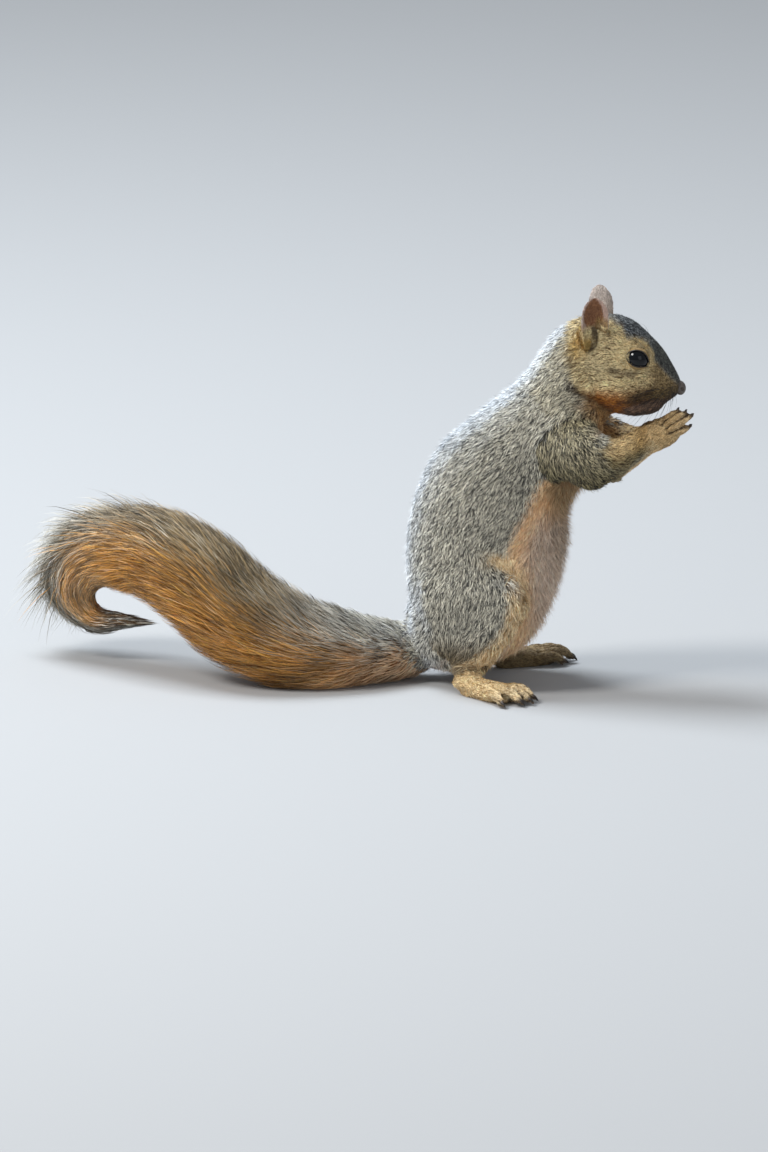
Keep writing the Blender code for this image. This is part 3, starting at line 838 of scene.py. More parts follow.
def segment_reach(points: Array, line: Array) -> tuple[Array, Array]:
    """Measure how far points are from a line, and how far along it they are.

    Args:
        points: The points.
        line: The line's points.

    Returns:
        Distance from the line, and distance past its end, which is negative before it.
    """
    best = np.full(len(points), np.inf)
    past = np.full(len(points), -np.inf)
    lengths = np.linalg.norm(np.diff(line, axis=0), axis=1)
    for i, (start, stop) in enumerate(zip(line[:-1], line[1:])):
        way = (stop - start) / lengths[i]
        run = (points - start) @ way
        gap = np.linalg.norm(points - start - np.clip(run, 0.0, lengths[i])[:, None] * way, axis=1)
        closer = gap < best
        best = np.where(closer, gap, best)
        past = np.where(closer, run - lengths[i] - lengths[i + 1 :].sum(), past)
    return best, past


# Lines of shade: points, half width and strength.
CREASES = (
    (((86, 17, 170.5), (90, 15.5, 172), (98.7, 13, 174.5), (102.5, 11, 177)), 1.0, 0.7),
    (((58, 24, 181), (61.5, 23, 177), (68, 22, 172.5), (74, 20, 168), (79, 17, 165)), 2.1, 0.95),
    (((82, 21, 188.6), (88, 20, 187.2), (93.5, 19, 186.6)), 1.8, 0.55),
    (
        ((89, 13, 170.2), (97.5, 10.5, 170.3), (105.7, 7.5, 171.6), (112, 4.5, 172.8), (117, 0, 172.6)),
        0.8,
        0.9,
    ),
    (((57.5, 18, 202), (58.5, 20, 196), (60, 21, 191)), 1.2, 0.5),
    (
        ((68.8, 20, 214), (70, 21, 211), (71.2, 21.5, 207.5), (70.8, 21.5, 204.4), (68.4, 21, 202.2)),
        1.7,
        1.0,
    ),
)


def crease_gaps(points: Array) -> list[tuple[Array, float, float]]:
    """Measure how far points are from each crease.

    Args:
        points: Points in body space.

    Returns:
        For each crease, the distances, half its width and its strength.
    """
    x, y, z = points.T
    flat = np.stack([x, np.abs(y), z], 1) * FLAT
    return [(segment_reach(flat, np.array(p, float) * FLAT)[0], half, s) for p, half, s in CREASES]


@dataclass(frozen=True)
class Digits:
    """The middle lines of one pair of hands' or feet's digits, for the left and the right."""

    left: tuple
    right: tuple
    radius: float

    def gaps(self, roots: Roots) -> tuple[Array, Array]:
        """Find how close places are to the furrow between two digits.

        Args:
            roots: Places on the skin.

        Returns:
            How much nearer the nearest digit is than the next one, and how far past its end each
            place is.
        """
        gap = np.full(len(roots.points), 9.0)
        past = np.full(len(roots.points), -99.0)
        for lines, side in ((self.left, 1.0), (self.right, -1.0)):
            mine = roots.points[:, 1] * side > 0
            points = roots.points[mine] * (1.0, side, 1.0)
            found = [segment_reach(points, np.array(line, float)) for line in lines]
            reach = np.stack([f[0] for f in found])
            order = np.argsort(reach, axis=0)
            ranked = np.take_along_axis(reach, order, 0)
            ahead = np.take_along_axis(np.stack([f[1] for f in found]), order, 0)
            between = np.where(ahead[0] > -16.0, ranked[1] - ranked[0], 9.0)
            gap[mine] = np.where(ranked[0] < 2.5 * self.radius, between, 9.0)
            past[mine] = ahead[0]
        return gap, past


def hand_lines(shift: tuple[float, float, float]) -> tuple:
    """Place the fingers' middle lines.

    Args:
        shift: How far this hand is from the right one's mirror image.

    Returns:
        One line of joints for each finger.
    """
    fingers = (
        ((106, 8.2, 158.4), (111, 9.6, 162.1), (115.2, 7.4, 163.6)),
        ((109.5, 8.8, 157), (115.2, 10.4, 161.1), (119.7, 8.2, 162.6)),
        ((112.5, 8.8, 153.8), (119, 10.4, 157.9), (123.5, 8.2, 160.6)),
        ((113, 8.4, 150.3), (119, 9.4, 152.2), (122.4, 7.2, 154.6)),
    )
    return tuple(tuple(tuple(a + b for a, b in zip(p, shift)) for p in f) for f in fingers)


def foot_lines(heel: tuple[float, float], splay: float) -> tuple:
    """Place the toes' middle lines.

    Args:
        heel: The heel's x and outward place.
        splay: How far the foot turns out, in degrees.

    Returns:
        One line of joints for each toe.
    """
    toes = (
        ((31, -7, 4.8), (39, -9.3, 6.4), (45, -10.6, 3.2)),
        ((34, -4, 5.4), (45, -5.2, 7.8), (52.5, -5.6, 3.8)),
        ((35, 0.6, 5.6), (47, 0.9, 8), (54.5, 1.1, 3.8)),
        ((34, 5.2, 5.4), (45, 6.6, 7.8), (53, 7.6, 3.8)),
        ((30, 8.6, 4.8), (40, 13, 6.4), (47, 16.2, 3.2)),
    )
    turn = math.radians(splay)
    c, s = math.cos(turn), math.sin(turn)
    return tuple(
        tuple((heel[0] + f * c - o * s, heel[1] + f * s + o * c, z) for f, o, z in toe) for toe in toes
    )


HANDS = Digits(hand_lines((-2.3, 0.0, -2.8)), hand_lines((0.0, 0.0, 0.0)), 1.9)
FEET = Digits(foot_lines((-3.0, 29.0), 33.0), foot_lines((-10.5, 32.0), 27.0), 3.0)


@dataclass(frozen=True)
class Ear:
    """A cupped ear: its edges curl forward, and nearly meet at the notch."""

    root: tuple = (67.0, 13.6, 199.0)
    tip: tuple = (69.6, 19.4, 230.6)
    facing: tuple = (0.36, 0.92, 0.12)
    # Share of the height, half width and curl in degrees.
    outline: tuple = (
        (0.0, 0.15, 0.30, 0.45, 0.60, 0.72, 0.82, 0.90, 0.96, 1.0),
        (4.6, 5.8, 7.0, 7.8, 8.1, 7.9, 7.1, 5.6, 3.8, 1.2),
        (125, 112, 88, 68, 56, 48, 42, 36, 30, 25),
    )
    thickness: float = 1.5
    left_back: float = 3.2  # how much further back the left ear is held

    def frame(self, side: float) -> tuple[Array, Array, Array, Array]:
        """Give the ear's place and ways.

        Args:
            side: 1 for the left and -1 for the right.

        Returns:
            The root, the way up, the way across to the front edge and the way it faces.
        """
        mirror = np.array((1.0, side, 1.0))
        back = np.array((self.left_back if side > 0 else 0.0, 0.0, 0.0))
        root, tip = np.array(self.root) * mirror - back, np.array(self.tip) * mirror - back
        up = tip - root
        ahead = unit(up)
        facing = np.array(self.facing) * mirror
        facing = unit(facing - ahead * (facing @ ahead))
        across = np.cross(facing, ahead) * side
        return root, up, across * np.sign(across[0]), facing

    def build(self, side: float) -> tuple[Array, Array]:
        """Make one ear as a closed shell.

        Args:
            side: 1 for the left and -1 for the right.

        Returns:
            Points and triangles.
        """
        root, up, across, facing = self.frame(side)
        spread = np.linspace(-1, 1, 17)
        rows = []
        for share in np.linspace(0, 1, 22):
            half, curl = (np.interp(share, self.outline[0], row) for row in self.outline[1:])
            angle = spread * math.radians(curl)
            radius = half / math.sin(math.radians(min(curl, 90.0)))
            sheet = np.outer(np.sin(angle) * radius, across)
            sheet += np.outer((1 - np.cos(angle)) * radius, facing)
            way = np.outer(-np.sin(angle), across) + np.outer(np.cos(angle), facing)
            offset = way * self.thickness / 2
            middle = root + up * share
            rows.append(np.vstack([middle + sheet + offset, (middle + sheet - offset)[::-1]]))
        points = np.vstack([*rows, rows[0].mean(0)[None], rows[-1].mean(0)[None]])
        quads, ends = closed_faces(len(rows), len(rows[0]))
        faces = np.vstack([halved(quads), ends])
        corners = points[faces]
        volume = (corners[:, 0] * np.cross(corners[:, 1], corners[:, 2])).sum()
        return points, faces if volume > 0 else faces[:, ::-1]

    def local(self, roots: Roots) -> tuple[Array, Array, Array]:
        """Read places in the ear's own terms.

        Args:
            roots: Places on the skin.

        Returns:
            Place across from -1 to 1, share of the height, and how much each faces into the cup.
        """
        across, along, forward = (np.zeros(len(roots.points)) for _ in range(3))
        for side in (1.0, -1.0):
            root, up, way, facing = self.frame(side)
            mine = roots.points[:, 1] * side > 0
            offset = roots.points[mine] - root
            along[mine] = offset @ up / (up @ up)
            half = np.interp(along[mine], *self.outline[:2])
            across[mine] = (offset @ way) / half
            centre = np.outer(np.maximum(half * 0.9, 0.0), facing)
            toward = unit(centre - (offset - np.outer(along[mine], up)))
            forward[mine] = (roots.normals[mine] * toward).sum(1)
        return across, along, forward


EAR = Ear()


# --- Skin ---


@dataclass
class Tail:
    """The tail's middle line and its section out to the hair tips."""

    # x, outward to the right, z, half width, reach above and reach below at each station.
    stations: tuple = (
        (-24, 0, 24, 12, 11, 12),
        (-44, 3, 17, 16, 17, 17),
        (-61, 12, 17, 20, 21, 20),
        (-84, 24, 20, 24, 26, 26),
        (-106, 30, 26, 26, 28, 28),
        (-134, 29, 40, 30, 29, 31),
        (-160, 20, 58.5, 28, 28.5, 30),
        (-187, 7, 69, 27, 27, 27),
        (-208, -3, 69, 25, 23, 25),
        (-226, -11, 62, 20, 22, 19),
        (-237, -15, 49, 16, 25, 13),
        (-238, -16, 35, 11, 20, 8),
        (-228, -15, 25, 6, 9, 4),
        (-214, -12, 24.5, 3.4, 4.6, 3.4),
    )
    point: float = 30.0  # how far past its end the hair draws in to a point
    core_root: float = 8.5
    core_end: float = 1.4
    core_sides: int = 14
    samples: int = 240
    line: Array = field(init=False)
    half: Array = field(init=False)
    across: Array = field(init=False)
    up: Array = field(init=False)
    run: Array = field(init=False)

    def __post_init__(self) -> None:
        """Sample the middle line evenly and carry a frame along it."""
        stations = np.array(self.stations, float)
        stations[:, 1] *= -1.0
        rough = curve_points(stations, np.linspace(0, len(stations) - 1, 900))
        run = np.concatenate([[0], np.cumsum(np.linalg.norm(np.diff(rough[:, :3], axis=0), axis=1))])
        places = np.linspace(0, run[-1], self.samples)
        even = np.stack([np.interp(places, run, column) for column in rough.T], axis=1)
        self.run, self.line, self.half = places, even[:, :3], even[:, 3:]
        along = unit(np.gradient(self.line, axis=0))
        across = np.empty_like(along)
        way = np.array((0.0, 1.0, 0.0))
        for i, ahead in enumerate(along):
            way = unit(way - ahead * (way @ ahead))
            across[i] = way
        self.across, self.up = across, np.cross(across, along)

    @property
    def length(self) -> float:
        """The middle line's length."""
        return float(self.run[-1])

    def place(self, run: Array, turn: Array, share: Array, inner: Array) -> Array:
        """Find points in the tail's own coordinates.

        Args:
            run: Distance along the middle line, which may run past its end.
            turn: Angle about it, from the left side up.
            share: Distance from the core to the outline, from 0 to 1.
            inner: The core's radius.

        Returns:
            Points in body space.
        """
        read = np.clip(run, 0.0, self.length)
        past = (run - read)[..., None]
        ahead = unit(self.line[-1] - self.line[-4])
        rows = (self.line, self.across, self.up)
        mean = [np.stack([np.interp(read, self.run, c) for c in row.T], -1) for row in rows]
        half = [np.interp(read, self.run, c) for c in self.half.T]
        narrow = np.clip(1 - (run - read) / self.point, 0.3, 1.0)
        wide = (inner + (half[0] - inner) * share) * narrow
        tall = (inner + (np.where(np.sin(turn) > 0, half[1], half[2]) - inner) * share) * narrow
        offset = mean[1] * (np.cos(turn) * wide)[..., None] + mean[2] * (np.sin(turn) * tall)[..., None]
        return mean[0] + offset + ahead * past

    def ahead(self, run: Array) -> Array:
        """Give the middle line's way at distances along it."""
        way = unit(np.gradient(self.line, axis=0))
        return unit(np.stack([np.interp(run, self.run, column) for column in way.T], -1))

    def tapered(self, points: Array) -> Array:
        """Draw the tail's root in towards the core, more and more along its length.

        Args:
            points: The root's points.

        Returns:
            The points, moved.
        """
        gap = np.linalg.norm(points[:, None] - self.line[None, ::4], axis=2)
        near = gap.argmin(1) * 4
        offset = points - self.line[near]
        reach = np.linalg.norm(offset, axis=1)
        run = self.run[near]
        wanted = self.core_radius(run) / np.maximum(reach, 0.1)
        scale = 1 + (np.minimum(wanted, 1.0) - 1) * ramp(8, 42, run)
        return self.line[near] + offset * scale[:, None]

    def core_radius(self, run: Array) -> Array:
        """Give the flesh's radius along the tail."""
        share = np.clip(run / self.length, 0, 1)
        return self.core_end + (self.core_root - self.core_end) * (1 - share) ** 0.8


@dataclass
class Skin:
    """One closed skin for the whole body, inside the coat by the coat's depth."""

    space: Space
    tail: Tail
    voxel: float = 0.8
    # Centre and radii of flesh that fills hollows; y counts outward.
    fillers: tuple = (
        ((44, 23.5, 140), (14, 8.5, 21)),
        ((56, 23, 160), (13, 8.5, 9)),
        ((63, 19, 161), (10, 9.5, 9)),
        ((67.5, 14.5, 206), (9.5, 6.5, 9.5)),
    )
    # Centre, reach and outward push of small changes of form; the last number keeps it to one side.
    pushes: tuple = (
        ((97, 0, 208), (15, 22, 11), -1.3, 0),
        ((46, 0, 205), (20, 22, 18), 2.4, 0),
        ((74, 22, 157), (15, 20, 12), -9.5, 1),
        ((88, 24, 127), (13, 14, 9), -1.6, 0),
        ((66, 34, 122), (13, 12, 8), 1.6, 0),
        ((106, 9, 145), (9, 9, 6), 3.4, 0),
        ((104, 9, 160), (9, 9, 6), -1.2, 0),
        ((80, 0, 163), (9, 12, 6), -1.4, 0),
        ((-42, 0, 44), (10, 34, 24), -3.0, 0),
        ((33, 38, 66), (10, 16, 18), 4.5, 0),
        ((55, 0, 102), (14, 24, 15), -4.6, 0),
        ((118.5, 0, 176.5), (5.5, 6, 6), -2.4, 0),
    )
    # Centre and reach of the folds round the shoulder that fur bridges; y counts outward.
    fold: tuple = ((54, 30, 150), (30, 20, 29))
    fold_rounds: int = 110
    tail_root: float = -36.0  # x behind which the flesh narrows to the tail's core
    lowest: float = 0.02  # the least height of the skin
    join: float = 0.24  # how far each part swells, so that neighbours merge
    kept: float = 0.44  # the share of the worked skin's triangles that the piece keeps
    fine_parts: tuple = (Part.EAR, Part.HAND, Part.FOOT, Part.NOSE)
    name: str = "skin"
    points: Array = field(init=False)
    triangles: Array = field(init=False)
    normals: Array = field(init=False)
    roots: Roots = field(init=False)
    fields: Array = field(init=False)  # depth, length, width and density at each point
    nodes: list = field(init=False)

    def flesh_nodes(self) -> dict[str, Part]:
        """Name the nodes that the skin stands for.

        Returns:
            Each node's part.
        """
        found = {}
        for node in frame_nodes():
            for part in PARTS:
                if node == part.value.node or node.startswith(part.value.node + "_"):
                    found[node] = part
        return found

    def build(self) -> Piece:
        """Make the skin and dress it.

        Returns:
            The skin's object.
        """
        self.nodes = sorted(self.flesh_nodes())
        self.merge_parts()
        self.name_parts()
        self.settle()
        look = DownySkin("downy_skin").build()
        piece = new_mesh_object(self.name, self.space.to_frame(self.points), [self.triangles], look)
        pattern = Pattern(self.roots)
        base = pattern.under * 0.75 + pattern.light * 0.1 + pattern.dark * 0.15
        thin = self.roots.on(Part.EAR, Part.HAND, Part.FOOT)[:, None]
        base = base * (1 - thin) + (0.5 * pattern.light + 0.5 * pattern.under) * thin
        paint(piece, base)
        thin_out = piece.modifiers.new("thin_out", "DECIMATE")
        thin_out.ratio = self.kept
        graph = bpy.context.evaluated_depsgraph_get()
        shaped = bpy.data.meshes.new_from_object(
            piece.evaluated_get(graph), preserve_all_data_layers=True, depsgraph=graph
        )
        piece.modifiers.clear()
        piece.data = shaped
        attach(piece, BODY)
        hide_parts(*self.nodes)
        return piece

    def merge_parts(self) -> None:
        """Swell copies of the flesh nodes a little and merge them with the tail's core."""
        points, triangles, offset = [], [], 0
        sources = []
        for node, part in self.flesh_nodes().items():
            if part is Part.EAR or (part is Part.TAIL and node != "tail_1"):
                continue
            place, faces = mesh_arrays(frame_nodes()[node].data)
            swollen = self.space.to_body(place) + point_normals(place, faces) * self.join
            if part in (Part.TAIL, Part.TRUNK):
                rear = swollen[:, 0] < self.tail_root
                swollen[rear] = self.tail.tapered(swollen[rear])
            sources.append((swollen, faces))
        for sign in (1.0, -1.0):
            mirror = np.array((1.0, sign, 1.0))
            sources.append(EAR.build(sign))
            sources.append(ellipsoid(np.array(EYE_PLACE) * mirror, np.full(3, EYE_RADIUS - 0.1)))
            for centre, radii in self.fillers:
                sources.append(ellipsoid(np.array(centre) * mirror, np.array(radii)))
        run = np.linspace(0, self.tail.length - 3, 90)
        line = np.stack([np.interp(run, self.tail.run, c) for c in self.tail.line.T], -1)
        core, (quads, caps) = tube(line, self.tail.core_radius(run), self.tail.core_sides)
        sources.append((core, np.vstack([halved(quads), caps])))
        for place, faces in sources:
            points.append(place)
            triangles.append(faces + offset)
            offset += len(place)
        mesh = bpy.data.meshes.new("merge")
        mesh.from_pydata(np.vstack(points).tolist(), [], np.vstack(triangles).tolist())
        holder = bpy.data.objects.new("merge", mesh)
        bpy.context.scene.collection.objects.link(holder)
        remesh = holder.modifiers.new("merge", "REMESH")
        remesh.mode = "VOXEL"
        remesh.voxel_size = self.voxel
        shaped = holder.evaluated_get(bpy.context.evaluated_depsgraph_get()).to_mesh()
        self.points, self.triangles = mesh_arrays(shaped)
        bpy.data.objects.remove(holder)

    def name_parts(self) -> None:
        """Give each point the part and side of the nearest node."""
        places, parts, sides = [], [], []
        for node, part in self.flesh_nodes().items():
            found, faces = mesh_arrays(frame_nodes()[node].data)
            corners = self.space.to_body(found)[faces]
            for mix in (*np.eye(3), (0.34, 0.33, 0.33), (0.6, 0.2, 0.2), (0.2, 0.6, 0.2)):
                places.append(np.tensordot(np.array(mix, float), corners, axes=(0, 1)))
                parts.append(np.full(len(faces), part_number(part)))
                side = 1 if node.endswith("_left") else -1 if node.endswith("_right") else 0
                sides.append(np.full(len(faces), side))
        places, parts, sides = np.vstack(places), np.concatenate(parts), np.concatenate(sides)
        tree = KDTree(len(places))
        for i, place in enumerate(places.tolist()):
            tree.insert(place, i)
        tree.balance()
        nearest = np.array([tree.find(p)[1] for p in self.points.tolist()])
        self.roots = Roots(self.points, np.zeros_like(self.points), parts[nearest], sides[nearest])

    def settle(self) -> None:
        """Smooth the facets away, and draw the skin in by the coat's depth."""
        edges = np.vstack([self.triangles[:, [0, 1]], self.triangles[:, [1, 2]], self.triangles[:, [2, 0]]])
        edges = np.unique(np.sort(edges, axis=1), axis=0)
        fine = self.roots.on(*self.fine_parts)
        half = np.full(len(fine), 0.5)
        soft = smoothed(1 - fine[:, None], edges, 4, half)[:, 0]
        self.points = smoothed(self.points, edges, 3, half)
        self.points = smoothed(self.points, edges, 14, 0.55 * soft)
        self.points = self.filled(edges)
        self.normals = point_normals(self.points, self.triangles)
        even = smoothed(self.normals, edges, 6, half)
        self.roots.points, self.roots.normals = self.points, unit(even)
        self.fields = smoothed(self.coat_fields(), edges, 12, half)
        inset = self.fields[:, 0] + self.join - self.pushed()
        floor = ramp(0, 3, self.points[:, 2])
        inset = np.where(self.roots.on(Part.FOOT) > 0, inset * floor, inset)
        self.points = self.points - self.roots.normals * inset[:, None]
        self.points = smoothed(self.points, edges, 3, 0.4 * soft)
        self.points[:, 2] = np.maximum(self.points[:, 2], self.lowest)
        self.add_lids()
        self.normals = point_normals(self.points, self.triangles)
        self.roots = Roots(self.points, self.normals, self.roots.parts, self.roots.sides)

    def filled(self, edges: Array) -> Array:
        """Fill the folds round the shoulders, moving points only outward.

        Args:
            edges: Pairs of point numbers.

        Returns:
            The points, moved.
        """
        centre, radii = (np.array(row, float) for row in self.fold)
        normals = point_normals(self.points, self.triangles)
        points = self.points
        reach = np.linalg.norm((points * (1, 0, 1) + np.abs(points * (0, 1, 0)) - centre) / radii, axis=1)
        share = 0.95 * ramp(1, 0.7, reach)
        nearby = edges[(share[edges] > 0).any(1)]
        for _ in range(self.fold_rounds):
            moved = smoothed(points, nearby, 1, share)
            outward = ((moved - points) * normals).sum(1) > 0
            points = np.where(outward[:, None], moved, points)
        return points

    def add_lids(self) -> None:
        """Lay the lids' skin over the sockets."""
        for side in (1, -1):
            points, triangles = Eye(self.space, side).lids()
            self.triangles = np.vstack([self.triangles, triangles + len(self.points)])
            self.points = np.vstack([self.points, points])
            bald = np.arange(len(points)) < len(points) * 2 // 7
            row = np.array([0.3, 1.7, 0.26, 11.0])
            self.fields = np.vstack([self.fields, row * np.where(bald[:, None], (1, 1, 1, 0), 1)])
            self.roots.parts = np.append(self.roots.parts, np.full(len(points), part_number(Part.HEAD)))
            self.roots.sides = np.append(self.roots.sides, np.zeros(len(points), int))

    def pushed(self) -> Array:
        """Work out the small changes of form.

        Returns:
            How far each point moves outward.
        """
        total = np.zeros(len(self.points))
        for centre, reach, push, side in self.pushes:
            across = self.points[:, 1] * (side if side else 1)
            place = np.stack([self.points[:, 0], across if side else np.abs(across), self.points[:, 2]], 1)
            gap = (((place - centre) / reach) ** 2).sum(1)
            total += push * np.exp(-1.5 * gap)
        furred = 0.9 * (1 - self.roots.on(Part.EAR))
        for gap, half, strength in crease_gaps(self.points):
            total -= furred * strength * ramp(2.2 * half, 0.3 * half, gap)
        for part, digits in ((Part.HAND, HANDS), (Part.FOOT, FEET)):
            gap = digits.gaps(self.roots)[0]
            total -= self.roots.on(part) * 1.5 * ramp(1.3, 0.2, gap)
        return total

    def coat_fields(self) -> Array:
        """Set the coat's depth, length, width and density at each point.

        Returns:
            Four values for each point.
        """
        on = self.roots.on
        coats = (part.value for part in PARTS)
        table = np.array([(c.depth, c.length, c.width, c.density) for c in coats])
        values = table[self.roots.parts]
        x, y, z = self.points.T
        head = on(Part.HEAD, Part.NOSE)
        muzzle = head * ramp(90, 108, x)
        eye = np.array(EYE_PLACE)
        away = np.linalg.norm(np.stack([x - eye[0], np.abs(y) - eye[1], z - eye[2]], 1), axis=1)
        orbit = head * ramp(12, 8, away)
        crown = head * ramp(205, 213, z)
        nape = head * ramp(76, 62, x)
        belly = on(Part.TRUNK) * ramp(-2, 8, x - np.interp(z, *Pattern.belly_line))
        wrist = on(Part.FOREARM) * ramp(84, 99, x)
        ankle = on(Part.SHANK) * ramp(26, 14, z)
        sole = on(Part.FOOT) * ramp(-0.4, -0.8, self.normals[:, 2])
        pad = on(Part.NOSE) * ramp(114.5, 115.5, x)
        near = np.linalg.norm(self.points[:, None] - self.tail.line[None, ::6], axis=2).argmin(1) * 6
        brush = on(Part.TAIL) * ramp(45, 70, self.tail.run[near])
        for mask, changes in (
            (muzzle, (-0.78, -0.62, -0.30, 0.45)),
            (orbit, (-0.35, -0.45, 0.0, 0.0)),
            (crown, (-0.25, 0.0, 0.0, 0.0)),
            (nape, (0.5, 0.4, 0.0, 0.0)),
            (belly, (0.0, 0.25, 0.0, 0.0)),
            (wrist, (-0.6, -0.4, 0.0, 0.0)),
            (ankle, (-0.5, -0.3, 0.0, 0.0)),
            (sole, (0.0, 0.0, 0.0, -0.9)),
            (pad, (0.0, 0.0, 0.0, -1.0)),
            (brush, (0.0, 0.0, 0.0, -1.0)),
        ):
            values *= 1 + mask[:, None] * changes
        return values


def frame_nodes() -> dict[str, Piece]:
    """Give the frame's CAD nodes by name."""
    return {o["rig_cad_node"]: o for o in bpy.data.objects if "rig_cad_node" in o}


# --- Fur ---


@dataclass
class Lie:
    """The way the coat lies: strokes over the body, mirrored left and right."""

    nearness: float = 3.0
    batch: int = 20000  # how many places are worked out at once
    leak: float = 0.08  # how much one group's strokes bend the next group's hair
    # Part groups, then points that a hand would stroke through; y counts outward.
    strokes: tuple = (
        ("body", ((118, 0, 179), (111, 0, 190), (98, 0, 208), (79, 0, 217), (62, 0, 216), (45, 0, 206),
            (22, 0, 179))),
        ("body", ((22, 0, 179), (0, 0, 158), (-20, 0, 141), (-33, 0, 121), (-41, 0, 95), (-43, 0, 69),
            (-44, 0, 42), (-56, 0, 32))),
        ("body", ((113, 6, 177), (104, 12, 184), (99, 17, 189), (92, 20, 186), (84, 21, 186),
            (72, 22, 188), (60, 23, 186), (48, 26, 172))),
        ("body", ((112, 4, 184), (104, 9, 195), (98, 14, 202), (90, 17, 206), (82, 18, 207),
            (72, 17, 205), (62, 17, 200), (52, 20, 194), (40, 24, 182))),
        ("body", ((110, 8, 172), (100, 13, 174), (90, 17, 174), (80, 19, 173), (70, 20, 173),
            (62, 22, 168), (54, 25, 158))),
        ("body", ((104, 5, 164), (92, 9, 161), (80, 13, 161), (72, 14, 158), (66, 15, 150), (60, 16, 140))),
        ("body", ((106, 0, 164), (92, 0, 159), (80, 0, 159), (74, 0, 152), (69, 0, 140), (62, 0, 120),
            (56, 0, 102), (52, 0, 85), (46, 0, 65), (37, 0, 42), (24, 0, 22), (6, 0, 11), (-15, 0, 9))),
        ("body", ((45, 22, 188), (36, 27, 174), (25, 30, 160), (8, 33, 142), (-6, 35, 122),
            (-14, 36, 100), (-18, 37, 78))),
        ("body", ((30, 12, 184), (12, 16, 166), (-10, 20, 146), (-24, 24, 122), (-32, 26, 96),
            (-36, 26, 68), (-38, 22, 42), (-46, 14, 32))),
        ("body", ((52, 28, 156), (46, 32, 142), (39, 34, 126), (30, 36, 108), (20, 37, 92), (8, 38, 76))),
        ("body", ((62, 18, 120), (52, 24, 112), (44, 27, 100), (36, 31, 90), (26, 35, 82))),
        ("body", ((56, 12, 104), (50, 18, 90), (44, 22, 74), (36, 24, 56), (26, 22, 36))),
        ("leg", ((-6, 40, 84), (-12, 42, 66), (-14, 42, 50), (-12, 38, 34), (-8, 34, 22))),
        ("leg", ((10, 42, 80), (12, 44, 64), (10, 44, 48), (4, 40, 32), (0, 36, 20))),
        ("leg", ((14, 36, 84), (24, 38, 76), (33, 40, 64), (34, 40, 50), (24, 38, 34), (12, 34, 20),
            (2, 33, 12))),
        ("leg", ((22, 30, 82), (32, 32, 70), (37, 32, 56), (32, 32, 40), (20, 32, 26))),
        ("leg", ((-26, 34, 66), (-30, 32, 46), (-26, 28, 28), (-18, 24, 16))),
        ("foot", ((-6, 31, 12), (6, 36, 9), (20, 43, 9), (34, 50, 9), (48, 57, 6))),
        ("foot", ((0, 26, 8), (14, 34, 8), (30, 42, 9), (46, 50, 6))),
        ("arm", ((50, 30, 162), (52, 36, 150), (57, 39, 138), (63, 40, 128), (72, 36, 122))),
        ("arm", ((60, 34, 156), (68, 38, 146), (76, 37, 138), (86, 31, 136), (94, 22, 142),
            (101, 14, 148))),
        ("arm", ((62, 22, 150), (72, 24, 146), (82, 20, 147), (92, 14, 151), (100, 9, 155))),
        ("arm", ((66, 20, 130), (76, 24, 124), (86, 22, 130), (94, 16, 138), (101, 11, 145))),
        ("hand", ((98, 12, 150), (106, 11, 153), (113, 10, 156), (122, 9, 160))),
        ("ear", ((67, 15, 202), (68, 18, 214), (69, 19, 228))),
        ("body", ((-36, 8, 52), (-44, 6, 40), (-56, 2, 36), (-70, -4, 36))),
        ("body", ((-28, 28, 44), (-38, 22, 32), (-50, 12, 26), (-64, 8, 24))),
        ("tail", ((-30, 0, 40), (-50, -4, 40), (-64, -12, 44))),
        ("tail", ((-34, 12, 24), (-50, 12, 20), (-70, 8, 20))),
    )

    def guides(self) -> tuple[Array, Array, Array]:
        """Sample the strokes on both sides.

        Returns:
            Points, ways and group names.
        """
        points, ways, groups = [], [], []
        for group, stroke in self.strokes:
            line = np.array(stroke, float)
            even = curve_points(line, np.linspace(0, len(line) - 1, 2 * len(line)))
            way = unit(np.gradient(even, axis=0))
            for sign in (1.0, -1.0):
                points.append(even * (1, sign, 1))
                ways.append(way * (1, sign, 1))
                groups.extend([group] * len(even))
        return np.vstack(points), np.vstack(ways), np.array(groups)

    def at(self, roots: Roots) -> Array:
        """Find the way the coat lies.

        Args:
            roots: Places on the skin.

        Returns:
            Unit vectors along the skin.
        """
        points, ways, groups = self.guides()
        own = np.array([part.value.lie for part in PARTS])[roots.parts]
        found = np.empty_like(roots.points)
        for start in range(0, len(found), self.batch):
            part = slice(start, start + self.batch)
            gap = ((roots.points[part, None, :] - points[None]) ** 2).sum(-1)
            weight = (gap + self.nearness**2) ** -2.0
            weight *= np.where(own[part, None] == groups[None], 1.0, self.leak)
            found[part] = weight @ ways
        found -= roots.normals * (found * roots.normals).sum(1, keepdims=True)
        return unit(found)


